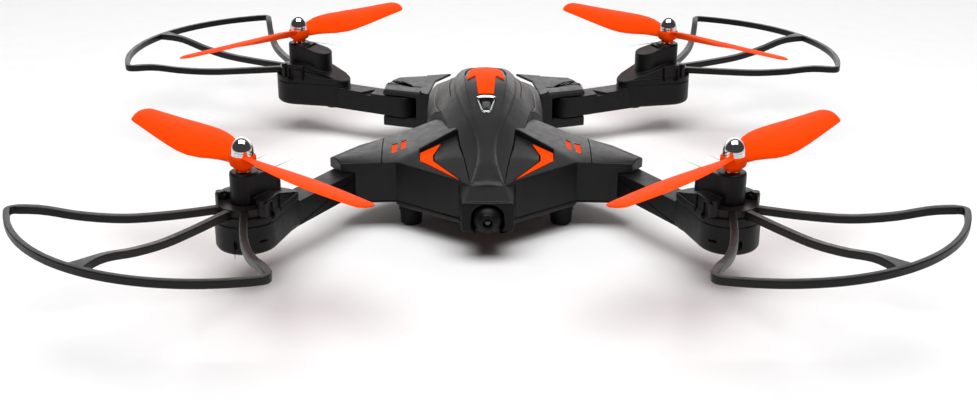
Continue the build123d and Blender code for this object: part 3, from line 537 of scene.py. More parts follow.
# Canopy stations along Y: right half of each section as (x, z) of foot, brow and crown.
STATION_Y = (-66.4, -46.0, -20.0, 15.0, 36.0, 66.0, 94.0)
FOOT = (
    (7.0, 28.6), (30.6, 30.0), (35.4, 30.4), (26.8, 30.0), (26.8, 30.0), (26.4, 29.0), (20.0, 25.5)
)
BROW = (
    (6.4, 28.9), (11.2, 33.4), (16.0, 38.5), (18.0, 44.0), (18.0, 41.5), (16.4, 33.5), (14.0, 26.8)
)
CROWN = (
    (4.6, 29.2), (3.4, 35.4), (6.8, 43.6), (9.8, 50.0), (9.4, 47.2), (7.2, 36.4), (7.0, 28.0)
)
HOOD_Y = (-67.0, -60.0, -54.0, -45.0, -36.0, -28.0, -20.0, -11.0, 0.0, 14.0, 30.0, 44.0, 66.0)
HOOD_X = (8.4, 6.4, 5.1, 4.5, 5.1, 6.8, 9.1, 11.2, 13.4, 14.6, 14.2, 12.4, 8.0)
HOOD_RISE = 1.2
SEAM_GAP = 1.5


def canopy(x, y, spread=2.0):
    """Height of the canopy, with the corners of its section softened."""
    x, y = np.abs(np.asarray(x, float)), np.asarray(y, float)
    columns = []
    for stations in (FOOT, BROW, CROWN):
        for part in (0, 1):
            columns.append(hermite(y, STATION_Y, [station[part] for station in stations]))
    foot_x, foot_z, brow_x, brow_z, crown_x, crown_z = columns
    total = np.zeros_like(x)
    offsets = np.linspace(-spread, spread, 7)
    for offset in offsets:
        at = np.abs(x + offset)
        low = foot_z + (foot_x - at) * (brow_z - foot_z) / (foot_x - brow_x)
        high = brow_z + (brow_x - at) * (crown_z - brow_z) / (brow_x - crown_x)
        roof = crown_z + 0.5 * (1 - at / crown_x)
        height = np.where(at > brow_x, low, np.where(at > crown_x, high, roof))
        total += np.maximum(height, foot_z - 3.0)
    return total / len(offsets)


def hood(x, y):
    """Height of the raised spine hood, which fades into the nose."""
    return canopy(x, y) + HOOD_RISE * np.clip((np.asarray(y, float) + 69) / 14, 0.1, 1.0)


def facets(corners, triangles, radius=1.3):
    """Height function of a faceted surface, with its creases softened."""

    def flat(x, y):
        best, result = np.full(x.shape, -1e9), np.zeros(x.shape)
        for names in triangles:
            (ax, ay, az), (bx, by, bz), (cx, cy, cz) = (corners[name] for name in names)
            area = (bx - ax) * (cy - ay) - (cx - ax) * (by - ay)
            v = ((x - ax) * (cy - ay) - (cx - ax) * (y - ay)) / area
            w = ((bx - ax) * (y - ay) - (x - ax) * (by - ay)) / area
            u = 1 - v - w
            worst = np.minimum(np.minimum(u, v), w)
            result = np.where(worst > best, u * az + v * bz + w * cz, result)
            best = np.maximum(best, worst)
        return result

    def height(x, y):
        turns = [tau * k / 8 for k in range(8)]
        rings = [flat(x + radius * cos(turn), y + radius * sin(turn)) for turn in turns]
        return (flat(x, y) + sum(rings)) / 9

    return height


# ----------------------------------------------------------- body: the wings
armour_facets = facets(
    {
        "R": (*RIDGE, 36.2), "K": (*KNEE, 31.5), "A": (*HEEL, 30.4), "B": (*REAR, 30.0),
        "C": (*TIP, 29.7), "D": (*TOE, 29.7), "E": (*ROOT, 30.0), "N": (*SHOULDER, 29.0),
        "I": (*LIP_IN, 38.2), "O": (*LIP_OUT, 32.4), "F": (*FANG_OUT, 30.7),
        "T": (*FANG_TIP, 29.2),
    },
    ("RIO", "ROA", "RAK", "AOE", "AEB", "EBD", "BCD", "OFE", "FTE", "TNE"),
)


def armour(x, y):
    """Height of the wing armour, cambered between its front and rear edges."""
    points = np.column_stack([x, y])
    front = distance(points, [TOE, ROOT, SHOULDER])
    rear = distance(points, [KNEE, HEEL, REAR, TIP])
    camber = 4 * front * rear / (front + rear + 1e-9) ** 2
    return armour_facets(x, y) + 1.1 * camber


ARMOUR_OUTLINE = [
    RIDGE, KNEE, HEEL, REAR, TIP, TOE, ROOT, SHOULDER, FANG_TIP, FANG_OUT, LIP_OUT, LIP_IN,
]
WING_SEAM = [(44.6, -12.0), (44.4, -24.0), (43.6, -45.0)]
EDGE_SEAM = [(47.4, -15.2), (55.0, -23.9), (64.0, -37.6)]
VENT_SLANT = 0.7


def vent_outline(x, y, grow=0.0):
    """Slanted vent slot in the wing armour."""
    half, reach = 1.1 + grow, 5.5 + grow
    return [
        (x - half, y - reach + VENT_SLANT), (x + half, y - reach - VENT_SLANT),
        (x + half, y + reach - VENT_SLANT), (x - half, y + reach + VENT_SLANT),
    ]


VENT_CENTRES = ((39.1, -27.0), (35.4, -24.0))


def vent_floor(x, y):
    """Height of the coloured insert in a vent slot, on either wing."""
    return armour(np.abs(x), y) - 0.4


def fold_slot(side):
    """Space that a front arm sweeps as it folds, on the right or left side."""
    arm = ARMS[1]
    pivot, rest = arm.pivot.xy, atan2(arm.out.y, arm.out.x)

    def heading(angle):
        return Vector((cos(angle), sin(angle)))

    folded = rest + radians(FOLD_SWING)
    start = pivot + heading(rest - pi / 2) * SLOT_SIDE
    back = pivot + heading(folded + pi / 2) * SLOT_SIDE
    sweep = [back, back + heading(folded) * 60, Vector((120, 20)), Vector((120, -70)),
             start + heading(rest) * 45, start]
    outline = [(side * point.x, point.y) for point in sweep]
    round_hub = [(side * x, y) for x, y in round_outline(pivot.x, pivot.y, SLOT_SIDE, 40)]
    return [prism(outline, SLOT_LOW, SLOT_HIGH), prism(round_hub, SLOT_LOW, SLOT_HIGH)]


def make_wings():
    """Raised armour and outer wing blocks of the upper shell."""
    shape = plate(
        ARMOUR_OUTLINE, armour, PARTING + 0.12, rim=0.55, step=2.2,
        grooves=[(WING_SEAM, 0.45, 0.5), (EDGE_SEAM, 0.4, 0.35)],
    )
    for side, label in ((1, "right"), (-1, "left")):
        placed = shape if side == 1 else shape.mirror()
        wing = make(f"wing_armour_{label}", placed, "shell_plastic")
        cutters = fold_slot(side)
        for x, y in VENT_CENTRES:
            outline = [(side * px, py) for px, py in vent_outline(x, y)]
            cutters.append(prism(outline, DECK - 1.7, 40))
        carve(wing, *cutters)
        finish(wing, "body", ["upper_shell"], smooth=38)
        for index, (x, y) in enumerate(VENT_CENTRES, 1):
            outline = [(side * px, py) for px, py in vent_outline(x, y, 0.05)]
            insert = plate(outline, vent_floor, DECK - 1.8, 0.1, 1.5)
            made = make(f"vent_insert_{label}_{index}", insert, "orange_trim")
            finish(made, "body", ["wing_vent_inlays"])


# ---------------------------------------------------- body: canopy and hood
SEAM_LINE = [(12.2, -26.0), (11.2, -36.0), (9.4, -46.0), (7.8, -57.0), (7.0, -65.0)]
CHEEK_LINE = [(20.0, -4.0), (21.4, 3.0), (22.6, 14.0), (23.2, 30.0), (23.2, 46.0), (22.0, 70.0)]

inner_facet = facets(
    {
        "I": (12.6, -24.4, 36.6), "O": (28.4, -34.4, 31.4), "S": (9.6, -46.0, 33.6),
        "F": (28.2, -45.0, 30.6), "N": (11.6, -61.8, 28.9), "Z": (7.0, -66.0, 28.9),
        "M": (17.0, -44.0, 32.7),
    },
    ("IOM", "IMS", "OFM", "MFN", "MNS", "SNZ"),
    0.8,
)


def make_canopy():
    """Centre of the upper shell, and the recessed facets beside the nose."""
    outline = mirrored_outline(
        [(6.6, -65.6), *reversed(SEAM_LINE), (16.0, -23.0), (20.0, -3.4), (25.4, 6.6),
         (27.0, 30.0), (26.6, 60.0), (23.8, 84.0), (16.5, 96.8)]
    )
    hood_line = [(x + SEAM_GAP, y) for x, y in hood_points(18, start=4.0)]
    grooves = []
    for line, width, depth in ((hood_line, 0.4, 0.5), (CHEEK_LINE, 0.9, 0.5)):
        grooves.append((line, width, depth))
        grooves.append(([(-x, y) for x, y in line], width, depth))
    centre = plate(outline, canopy, PARTING + 0.12, rim=0.5, step=2.0, grooves=grooves)
    piece = make("canopy", centre, "shell_plastic")
    carve(piece, prism(button_outline(1.15, 36), 42, 60).placed(on_crown))
    finish(piece, "body", ["upper_shell"])

    facet_outline = [
        (12.4, -25.4), (27.6, -33.0), (29.4, -45.0), (11.8, -61.4), (7.8, -65.4),
        (7.2, -64.8), (8.0, -57.0), (9.6, -46.0), (11.4, -36.0),
    ]
    gap = [(x + dx, y + dy) for (x, y), (dx, dy) in zip(
        [CHEVRON[0], CHEVRON[5], CHEVRON[4], CHEVRON[3]],
        ((-0.3, 0.3), (-0.4, 0.1), (-0.4, -0.1), (-0.3, -0.2)),
    )]
    shape = plate(facet_outline, inner_facet, 24.0, rim=0.3, step=1.6, grooves=[(gap, 0.75, 0.8)])
    for side, label in ((1, "right"), (-1, "left")):
        placed = shape if side == 1 else shape.mirror()
        finish(make(f"nose_facet_{label}", placed, "shell_plastic"), "body", ["upper_shell"])
        chevron = plate(CHEVRON, lambda x, y: inner_facet(x, y) + 0.25, 28.0, rim=0.12, step=1.6)
        chevron = chevron if side == 1 else chevron.mirror()
        made = make(f"chevron_{label}", chevron, "orange_trim")
        finish(made, "body", ["chevron_inlays"])


def hood_points(count, start=HOOD_Y[0], stop=HOOD_Y[-1]):
    """Right edge of the spine hood, from nose to tail."""
    along = np.linspace(start, stop, count)
    return list(zip(hermite(along, HOOD_Y, HOOD_X), along))


PANEL = [(0.0, -18.6), (3.2, -17.6), (6.6, -14.4), (7.8, -7.0), (8.6, 1.0), (9.2, 9.0), (9.2, 17.0),
         (8.6, 24.0), (7.4, 30.5), (5.4, 36.5), (2.8, 40.0), (0.0, 41.0)]
INLAY = [(3.4, -5.6), (4.7, 13.6), (8.2, 8.8), (8.3, 14.0), (7.8, 20.0), (6.9, 26.0),
         (5.7, 31.5), (3.9, 36.6), (1.8, 38.6)]
PANEL_DEPTH = 0.4


def panel_outline():
    """Closed outline of the sunk panel round the button and the inlay."""
    return PANEL + [(-x, y) for x, y in reversed(PANEL[1:-1])]


def hood_with_panel(x, y):
    """Height of the hood with its panel sunk."""
    points = np.column_stack([x, y])
    within = inside(points, as_points(panel_outline()))
    depth = np.clip(distance(points, panel_outline(), True) / 0.35, 0, 1)
    return hood(x, y) - PANEL_DEPTH * np.where(within, depth, 0.0)


def make_hood():
    """Smooth spine hood with its sunk panel, and the coloured inlay."""
    outline = mirrored_outline(hood_points(60))
    panel = panel_outline()
    closed_panel = panel + [panel[0]]
    upper = [point for point in PANEL if point[1] > 12]
    shape = plate(
        outline, hood_with_panel, canopy_floor, rim=2.3, step=1.7,
        grooves=[
            (closed_panel, 0.5, 0.35), (upper, 0.9, 0.9), ([(-x, y) for x, y in upper], 0.9, 0.9)
        ],
    )
    piece = make("spine_hood_skin", shape, "hood_plastic")
    carve(piece, prism(button_outline(1.15, 36), 40, 60).placed(on_crown))
    finish(piece, "body", ["spine_hood"])
    inlay = plate(
        mirrored_outline(INLAY), lambda x, y: hood(x, y) + 0.12, lambda x, y: hood(x, y) - 0.9,
        rim=0.25, step=1.6,
    )
    finish(make("spine_inlay", inlay, "orange_trim"), "body", ["hood_inlay"])


def canopy_floor(x, y):
    """Underside of the hood, just inside the canopy."""
    return canopy(x, y) - 0.3


# ------------------------------------------------------------- power button
BUTTON_Y, BUTTON_Z, BUTTON_TILT = -13.8, 45.9, radians(10.4)


def on_crown(x, y, z):
    """Point of the button's own frame, moved to the sloping crown."""
    rise = z - BUTTON_Z
    return (
        x,
        BUTTON_Y + y * cos(BUTTON_TILT) - rise * sin(BUTTON_TILT),
        BUTTON_Z + y * sin(BUTTON_TILT) + rise * cos(BUTTON_TILT),
    )


def button_outline(grow, steps=60):
    """Rounded triangle round the button, point towards the nose."""
    corners = ((-2.3, 4.8), (-0.4, -5.4), (0.4, -5.4), (2.3, 4.8))
    radius = 0.8 + grow
    points = []
    for index, corner in enumerate(corners):
        before, after = corners[index - 1], corners[(index + 1) % 4]
        turns = []
        for start, end in ((before, corner), (corner, after)):
            turns.append(atan2(end[1] - start[1], end[0] - start[0]) - pi / 2)
        if turns[1] < turns[0]:
            turns[1] += tau
        count = max(3, round(steps * (turns[1] - turns[0]) / tau))
        for k in range(count + 1):
            turn = turns[0] + (turns[1] - turns[0]) * k / count
            points.append((corner[0] + radius * cos(turn), corner[1] + radius * sin(turn)))
    return points


def make_button():
    """Chrome bezel with its raised crown, and the smoked button lens in it."""
    rings = []
    profile = (
        (1.1, -1.2), (1.1, 0.75), (0.95, 1.05), (0.65, 1.15), (0.38, 1.0), (0.25, 0.6), (0.25, -1.2)
    )
    for grow, rise in profile:
        ring = []
        for x, y in button_outline(grow):
            swell = 0.35 * max(0.0, y / 5.0) if rise > 0 else 0.0
            ring.append((x, y, BUTTON_Z + rise + swell))
        rings.append(ring)
    bezel = make("bezel_ring", skin(rings, closed=True).placed(on_crown), "chrome")
    finish(bezel, "body", ["button_bezel"], smooth=60)
    arc = [(4.2 * sin(radians(turn)), 3.6 + 3.4 * cos(radians(turn))) for turn in range(-90, 91, 9)]
    arc += [(3.2, 2.8), (1.7, 3.3), (0.0, 3.5), (-1.7, 3.3), (-3.2, 2.8)]
    cap = plate(arc, lambda x, y: BUTTON_Z + 2.5 - 0.22 * (y - 3), BUTTON_Z, rim=0.3, step=0.6)
    finish(make("bezel_crown", cap.placed(on_crown), "chrome"), "body", ["button_bezel"], smooth=60)
    rings = []
    crown = ((0.0, -1.8), (0.0, 0.3), (0.2, 0.55), (0.7, 0.85), (1.4, 1.05), (2.4, 1.15))
    for inset_by, rise in crown:
        scale = 1 - inset_by / 4.0
        rings.append([(x * scale, y * scale, BUTTON_Z + rise) for x, y in button_outline(0.0)])
    lens = make("button_lens", skin(rings).placed(on_crown), "button_plastic")
    finish(lens, "button", ["power_button"], smooth=60)


# ----------------------------------------------------------- nose and camera
HOUSING_HALF, HOUSING_BOTTOM, HOUSING_TOP, HOUSING_CORNER = 10.7, 12.4, 25.2, 2.3
HOUSING_FRONT, HOUSING_BACK, MOUTH_BACK = -76.0, -60.0, -64.0
MOUTH_RADIUS, BALL_RADIUS = 6.9, 6.3


def section(y, half):
    """Closed upright ring at one place along the body, from its right half."""
    return [(x, y, z) for x, z in half] + [(-x, y, z) for x, z in reversed(half)]


def make_beak():
    """Sloping beak between the front facets."""
    beak = skin([
        section(-57.0, [(12.6, 14.0), (12.6, 27.2), (11.0, 28.4), (7.1, 29.0)]),
        section(-61.9, [(11.5, 14.0), (11.5, 27.0), (10.7, 28.3), (7.1, 29.2)]),
        section(-65.6, [(11.2, 14.0), (11.2, 25.2), (10.2, 26.6), (7.1, 28.9)]),
        section(-66.6, [(11.1, 23.6), (11.1, 24.9), (10.1, 26.2), (7.1, 28.5)]),
        section(-75.2, [(10.5, 23.6), (10.5, 24.1), (9.8, 24.7), (7.1, 25.3)]),
    ])
    piece = soften(make("nose_beak", beak, "shell_plastic"), 0.5)
    finish(piece, "body", ["upper_shell"])


def housing_outline(inset):
    """Right half of the housing's outline as (x, z), from underneath up to the top."""
    low, high = HOUSING_BOTTOM + HOUSING_CORNER, HOUSING_TOP - HOUSING_CORNER
    middle, reach = HOUSING_HALF - HOUSING_CORNER, HOUSING_CORNER - inset
    points = [(5.4, HOUSING_BOTTOM + inset)]
    for start, height in ((-90, low), (0, high)):
        for turn in map(radians, range(start, start + 91, 15)):
            points.append((middle + reach * cos(turn), height + reach * sin(turn)))
    return points + [(x, HOUSING_TOP - inset) for x in (5.6, 2.8, 0.0)]


def make_housing():
    """Arched housing round the camera ball, open at the front and underneath."""
    centre, stations = PLACES["camera_tilt"], []
    for y, inset in ((MOUTH_BACK, 0.0), (-75.1, 0.0), (-75.7, 0.25), (HOUSING_FRONT, 0.7)):
        outer, mouth = housing_outline(inset), []
        for index, (x, z) in enumerate(outer):
            turn = atan2(z - centre.z, x) if index else radians(-45)
            bore = MOUTH_RADIUS + 0.6 * inset
            mouth.append((bore * cos(turn), centre.z + bore * sin(turn)))
        stations.append((section(y, outer), section(y, mouth)))
    around = []
    for index in range(len(stations[0][0])):
        outside = [outer[index] for outer, _ in stations]
        around.append(outside + [mouth[index] for _, mouth in reversed(stations)])
    back = [section(y, housing_outline(0.0)) for y in (HOUSING_BACK, MOUTH_BACK - 0.1)]
    housing = make("camera_housing", skin(around) + skin(back), "black_plastic")
    finish(housing, "body", ["nose_housing"], smooth=35)


def make_camera():
    """Camera barrel with stepped lens rings, and the glass in it."""
    centre = PLACES["camera_tilt"]
    profile = [(0.4, -4.6)]
    for k in range(16):
        turn = radians(-46 + k * 7)
        profile.append((BALL_RADIUS * cos(turn), BALL_RADIUS * sin(turn)))
    profile += [
        (3.15, 5.55), (3.1, 5.9), (2.75, 6.05), (2.0, 6.1), (1.9, 5.9), (1.8, 4.4), (0.4, 4.4)
    ]

    def forward(x, y, z):
        return (centre.x + x, centre.y - z, centre.z + y)

    barrel = make("camera_ball", turned(profile, steps=72).placed(forward), "black_plastic")
    pin = turned([(1.0, 5.2), (1.0, 6.7), (0.9, 6.8)], steps=24)
    for side in (-1, 1):
        def sideways(x, y, z):
            return (centre.x + side * z, centre.y + x, centre.z + y)

        unite(barrel, pin.placed(sideways))
    finish(barrel, "camera", ["camera_barrel"], smooth=35)
    glass = [(1.75, 4.45), (1.75, 4.7), (1.4, 5.05), (0.9, 5.3), (0.3, 5.4)]
    lens = make("camera_glass", turned(glass, steps=40).placed(forward), "lens_glass")
    finish(lens, "camera", ["camera_lens"], smooth=60)


# ---------------------------------------------------------------- propellers
# Stations along a blade: radius, leading edge, trailing edge, pitch in degrees, thickness.
BLADE = (
    (2.5, 3.2, -2.6, 34, 2.2), (6.0, 5.0, -2.8, 33, 2.1), (10.0, 6.8, -3.2, 31, 1.9),
    (15.0, 8.7, -4.3, 28, 1.7), (20.0, 9.9, -5.8, 25, 1.6), (26.0, 10.7, -6.8, 22.5, 1.5),
    (32.0, 11.0, -6.8, 20, 1.4), (40.0, 11.1, -5.9, 17.5, 1.35), (50.0, 10.9, -4.3, 15, 1.2),
    (60.0, 10.6, -2.5, 13.7, 1.1), (66.0, 10.4, -1.4, 13, 1.0), (69.5, 10.2, -0.7, 12.5, 0.95),
    (71.0, 9.9, 0.4, 12.2, 0.9), (72.2, 8.9, 2.2, 12, 0.75), (72.9, 7.2, 4.2, 12, 0.5),
)
PROP_HEIGHT = 49.6
TIP_RISE = 0.8
BLADE_ANGLES = {"front_left": 138.0, "front_right": 42.0, "rear_left": 45.0, "rear_right": 135.0}
SPINS = {"front_left": -1, "front_right": 1, "rear_left": 1, "rear_right": -1}


def blade_section(lead, trail, thick, steps=12):
    """Cambered aerofoil from leading to trailing edge, as (chord, height) points."""
    points = []
    for surface_side in (1, -1):
        for k in range(steps):
            share = k / steps if surface_side == 1 else 1 - k / steps
            place = (1 - cos(pi * share)) / 2
            camber = 4 * place * (1 - place) * 0.07 * (lead - trail)
            half = thick / 2 * (4 * place * (1 - place)) ** 0.5
            points.append((lead + (trail - lead) * place, camber + surface_side * half))
    return points


def make_propeller(arm):
    """Two-blade propeller with its turned hub and the polished spinner."""
    hub = turned([(3.1, 45.9), (3.1, 47.0), (4.0, 47.3), (4.7, 47.9), (5.0, 48.7), (5.05, 50.2),
                  (4.95, 51.3), (4.6, 51.8), (3.9, 51.85)], arm.motor.xy, 64)
    piece = make(f"propeller_blades_{arm.name}", hub, "prop_plastic")
    blades = []
    for turn in (0, pi):
        angle = radians(BLADE_ANGLES[arm.name]) + turn
        span = Vector((cos(angle), sin(angle), 0))
        across = Vector((-span.y, span.x, 0)) * SPINS[arm.name]
        rings = []
        for radius, lead, trail, pitch, thick in BLADE:
            tilt = radians(pitch)
            chord = across * cos(tilt) + Vector((0, 0, sin(tilt)))
            normal = Vector((0, 0, cos(tilt))) - across * sin(tilt)
            centre = Vector((*arm.motor.xy, PROP_HEIGHT)) + span * radius
            centre.z += TIP_RISE * (radius / BLADE[-1][0]) ** 2
            rings.append([
                tuple(centre + chord * c + normal * h) for c, h in blade_section(lead, trail, thick)
            ])
        blades.append(skin(rings))
    unite(piece, *blades)
    finish(piece, f"rotor_{arm.name}", [f"propeller_{arm.name}"], smooth=50)
    dome = [(4.3, 51.9), (4.32, 52.6), (4.2, 53.0), (4.2, 53.15), (4.28, 53.3), (4.1, 54.6),
            (3.65, 56.0), (2.95, 57.1), (2.1, 57.9), (1.2, 58.4), (0.4, 58.58)]
    spinner = make(f"spinner_dome_{arm.name}", turned(dome, arm.motor.xy, 64), "chrome")
    finish(spinner, f"rotor_{arm.name}", [f"spinner_{arm.name}"], smooth=60)


# -------------------------------------------------------------------- guards
GUARD_RADIUS, GUARD_OFFSET, GUARD_SPREAD = 80.85, 5.5, radians(47.5)
GUARD_HEIGHT = 3.0
RING_WIDTH, STRUT_WIDTH, STRUT_FLARE = 2.3, 3.0, 4.5
STRUT_POINTS = 22
STRUT_RISE = (
    (11.0, 30.0), (30.0, 30.2), (45.0, 30.9), (60.0, 33.2), (74.0, 36.4), (83.0, 37.0), (92.0, 37.0)
)
STRUT_BOW = 4.2


def strip_section(centre, sideways, width, height):
    """Rounded rectangular section of a strip, with its centre at its underside."""
    ring = []
    soft = 0.45
    for corner_x, corner_z, start in ((1, 0, -90), (1, 1, 0), (-1, 1, 90), (-1, 0, 180)):
        for k in range(4):
            turn = radians(start + 30 * k)
            across = corner_x * (width / 2 - soft) + soft * cos(turn)
            up = soft + corner_z * (height - 2 * soft) + soft * sin(turn)
            ring.append(tuple(centre + sideways * across + Vector((0, 0, up))))
    return ring


def strip(path, widths):
    """Strip swept along a path of points, upright all the way."""
    rings = []
    for index, point in enumerate(path):
        before, after = path[max(index - 1, 0)], path[min(index + 1, len(path) - 1)]
        run = after - before
        sideways = Vector((run.y, -run.x, 0)).normalized()
        rings.append(strip_section(point, sideways, widths[index], GUARD_HEIGHT))
    return skin(rings)


def ring_point(turn):
    """Point on the guard ring, at an angle about the ring's own centre."""
    return Vector((
        GUARD_OFFSET + GUARD_RADIUS * cos(turn), GUARD_RADIUS * sin(turn), STRUT_RISE[-1][1]
    ))


def strut_line(turn, share):
    """Point on the strut that meets the ring at this angle; share 0 is the axis."""
    end = ring_point(turn)
    along = end.xy.normalized()
    bow = -STRUT_BOW * sin(pi * share) * np.sign(turn)
    place = end.xy * share + Vector((-along.y, along.x)) * bow
    height = float(hermite(np.array([place.length]), *zip(*STRUT_RISE))[0])
    return Vector((*place, height))


def rounded(corner, start, end, count=6):
    """Points of the bend that joins two lines at a corner."""
    shares = [k / count for k in range(1, count)]
    return [start * (1 - t) ** 2 + corner * 2 * t * (1 - t) + end * t * t for t in shares]


def make_guard(arm):
    """Propeller guard: ring arc, three bowed struts and the clip round the tower."""
    half = [strut_line(-GUARD_SPREAD, share) for share in np.linspace(0.12, 0.955, STRUT_POINTS)]
    arc_start = -GUARD_SPREAD + 3.6 / GUARD_RADIUS
    half += rounded(ring_point(-GUARD_SPREAD), half[-1], ring_point(arc_start))
    half += [ring_point(turn) for turn in np.linspace(arc_start, 0, 26)]
    mirror = [Vector((point.x, -point.y, point.z)) for point in reversed(half[:-1])]
    path = [Vector(arm.place(*point)) for point in half + mirror]
    ring_end = len(path) - STRUT_POINTS
    widths = [RING_WIDTH if STRUT_POINTS <= k < ring_end else STRUT_WIDTH for k in range(len(path))]
    middle = [Vector(arm.place(*strut_line(0.0, share))) for share in np.linspace(0.12, 0.998, 24)]
    flare = [STRUT_WIDTH + STRUT_FLARE * max(0.0, (k - 19) / 4) ** 2 for k in range(24)]
    piece = make(f"guard_frame_{arm.name}", strip(path, widths), "guard_plastic")
    outer = [(10.4 * cos(radians(a)), 10.4 * sin(radians(a))) for a in range(-92, 93, 8)]
    inner = [(5.6 * cos(radians(a)), 5.6 * sin(radians(a))) for a in range(80, -81, -8)]
    bracket = prism(arm.outline(outer + inner), 30.05, 33.2)
    lugs = []
    for side in (-1, 1):
        lug = round_outline(1.7, side * 9.8, 2.7, 6)
        lugs.append(prism(arm.outline([(max(x, 1.6), y) for x, y in lug]), 30.05, 35.2))
        head = round_outline(3.0, side * 9.8, 1.5, 20)
        lugs.append(prism(arm.outline(head), 34.5, 36.4))
    unite(piece, strip(middle, flare), bracket, *lugs)
    finish(piece, f"arm_{arm.name}", [f"prop_guard_{arm.name}"], smooth=40)


# ---------------------------------------------------------------- arms, pods
def box(x, y, z):
    """Box from three (low, high) pairs."""
    outline = [(x[0], y[0]), (x[1], y[0]), (x[1], y[1]), (x[0], y[1])]
    return prism(outline, *z)


def make_arm(arm):
    """Arm with its gear bowl, and the stepped cover over the motor."""
    hand = 1 if arm.name in ("front_left", "rear_right") else -1
    shell = copied(f"arm_casing_{arm.name}", f"arm_shell_{arm.name}", "arm_plastic")
    notch = [(-44.0, -hand * 5.6), (-38.6, -hand * 5.6), (-42.6, hand * 1.6)]
    cuts = [
        prism(notch, 24.2, 26.5),
        box((2.5, 5.6), (hand * 11.0 - 1.6, hand * 11.0 + 1.6), (20.4, 21.0)),
    ]
    for angle in (18, 34):
        turn = radians(angle) * hand
        clip = [(11.35, -0.25), (12.6, -0.25), (12.6, 0.25), (11.35, 0.25)]
        turned_clip = [
            (x * cos(turn) - y * sin(turn), x * sin(turn) + y * cos(turn)) for x, y in clip
        ]
        cuts.append(prism(turned_clip, 18.4, 21.4))
    carve(shell, *[cut.placed(arm.place) for cut in cuts])
    soften(shell, 0.5)
    finish(shell, f"arm_{arm.name}", [f"arm_shell_{arm.name}"])

    cover = copied(f"motor_hood_{arm.name}", f"motor_cover_{arm.name}", "arm_plastic")
    cuts = [box((-7.6, -6.2), (-4.2, 4.2), (42.2, 47.0))]
    for side in (-1, 1):
        low, high = sorted((side * 9.6, side * 13.0))
        cuts.append(box((-8.2, -7.6), (low, high), (28.6, 35.2)))
    carve(cover, *[cut.placed(arm.place) for cut in cuts])
    soften(cover, 0.5)
    finish(cover, f"arm_{arm.name}", [f"motor_cover_{arm.name}"])


# ----------------------------------------------------------- rear hinge forks
def make_clevis(side, label):
    """Rear hinge fork with its panel line and slanted vents."""
    piece = copied(f"rear_fork_{label}", f"rear_clevis_{label}", "shell_plastic")
    cuts = []
    for k in range(3):
        x, y = 39.0 + 2.6 * k, 78.5 + 0.9 * k
        slot = [(x - 3.4, y - 3.4), (x - 2.5, y - 3.6), (x + 2.6, y + 3.2), (x + 1.7, y + 3.4)]
        cuts.append(prism([(side * px, py) for px, py in slot], 27.3, 30))
    line = resample([(28.0, 72.0), (36.0, 72.8), (42.0, 77.0), (51.6, 78.6)], 30)
    seam = np.vstack([shifted(line, 0.2), shifted(line, -0.2)[::-1]])
    cuts.append(prism([(side * px, py) for px, py in seam], 28.1, 30))
    carve(piece, *cuts)
    cheek = [(27.4, 59.9), (24.2, 84.0), (16.4, 97.0), (27.4, 94.2), (31.0, 90.0), (31.0, 62.0)]
    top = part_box(f"rear_clevis_{label}")[1][2] / MM
    web = prism(anticlockwise([(side * px, py) for px, py in cheek]), 27.2, top)
    unite(piece, web)
    soften(piece, 0.6)
    finish(piece, "body", [f"rear_clevis_{label}"])


def refine(node, body, look, width=0.5):
    """Stand-in for a CAD node with the same shape and rounded edges."""
    piece = soften(copied(f"{node}_moulded", node, look), width)
    finish(piece, body, [node])


def make_feet():
    """Four tapered rubber feet with a moulded step."""
    for index, x in enumerate((-32.0, 32.0, -20.0, 20.0)):
        y = -34.5 if index < 2 else 78.0
        profile = [(3.2, 0.02), (3.9, 0.25), (4.35, 0.8), (4.5, 1.6), (4.85, 6.4), (5.2, 6.6),
                   (5.25, 9.9), (5.0, 10.3)]
        foot = make(f"foot_{index + 1}", turned(profile, (x, y), 48), "foot_rubber")
        finish(foot, "body", ["landing_feet"], smooth=45)


# --------------------------------------------------------------- the assembly
make_wings()
make_canopy()
make_hood()
make_button()
make_beak()
make_housing()
make_camera()
for arm in ARMS:
    make_propeller(arm)
    make_guard(arm)
    make_arm(arm)
for side, label in ((-1, "left"), (1, "right")):
    make_clevis(side, label)
refine("lower_shell", "body", "shell_plastic", 0.6)
refine("battery_cap", "battery", "shell_plastic", 0.4)
make_feet()

for row in frame["record"]["subparts"]:
    mesh = frame["nodes"][row["node"]].data
    mesh.materials.clear()
    mesh.materials.append(LOOKS[row["material_slot"]])

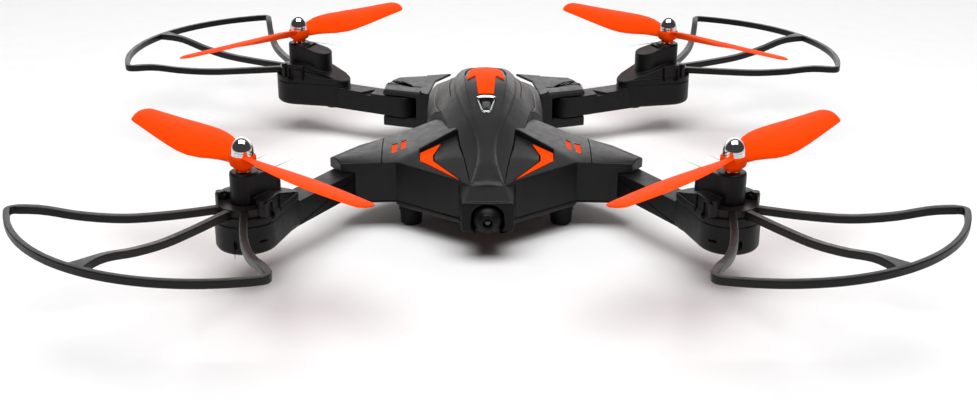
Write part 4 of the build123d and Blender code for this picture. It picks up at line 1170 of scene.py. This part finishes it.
# --------------------------------------------------- floor, light and camera
floor_mesh = bpy.data.meshes.new("floor")
reach = 6.0
floor_corners = [(-reach, -reach, 0), (reach, -reach, 0), (reach, reach, 0), (-reach, reach, 0)]
floor_mesh.from_pydata(floor_corners, [], [(0, 1, 2, 3)])
floor = bpy.data.objects.new("floor", floor_mesh)
SCENE.collection.objects.link(floor)
paper = surface("floor_paper", (0.86, 0.86, 0.86), 0.9, 0.1, mottle=0.01, bump=0.05)
floor_mesh.materials.append(paper)


def softbox(name, place, aim, size, power):
    """Rectangular studio light, in metres and watts."""
    lamp = bpy.data.lights.new(name, "AREA")
    lamp.shape = "RECTANGLE"
    lamp.size, lamp.size_y = size
    lamp.energy = power
    holder = bpy.data.objects.new(name, lamp)
    holder.location = place
    holder.rotation_euler = (Vector(aim) - Vector(place)).to_track_quat("-Z", "Y").to_euler()
    SCENE.collection.objects.link(holder)
    return holder


softbox("overhead", (0, -0.3, 1.35), (0, 0, 0), (1.6, 1.0), 26)
softbox("behind", (0, 1.9, 0.55), (0, 0, 0.05), (2.8, 0.7), 9)

world = bpy.data.worlds.new("studio")
SCENE.world = world
world.use_nodes = True
sky = world.node_tree
backdrop = sky.nodes["Background"]
towards = sky.nodes.new("ShaderNodeTexCoord").outputs["Generated"]
lit_from = sky.nodes.new("ShaderNodeVectorMath")
lit_from.operation = "DOT_PRODUCT"
lit_from.inputs[1].default_value = (0.0, 1.0, 0.0)
sky.links.new(towards, lit_from.inputs[0])
glow = ranged(sky, lit_from.outputs["Value"], 0.06, 1.4, 0.4, 1.0)
seen = sky.nodes.new("ShaderNodeLightPath").outputs["Is Camera Ray"]
power = shade(sky, "MixRGB")
sky.links.new(seen, power.inputs["Fac"])
sky.links.new(glow, power.inputs["Color1"])
power.inputs["Color2"].default_value = (1, 1, 1, 1)
sky.links.new(power.outputs["Color"], backdrop.inputs["Color"])
backdrop.inputs["Strength"].default_value = 1.0

camera_data = bpy.data.cameras.new("camera")
camera_data.lens = 49.38
camera_data.sensor_width = 36
camera = bpy.data.objects.new("camera", camera_data)
camera.location = (-0.00726, -0.56679, 0.21824)
camera.rotation_euler = Euler([radians(angle) for angle in (68.5538, -0.336, -0.7504)])
SCENE.collection.objects.link(camera)
SCENE.camera = camera
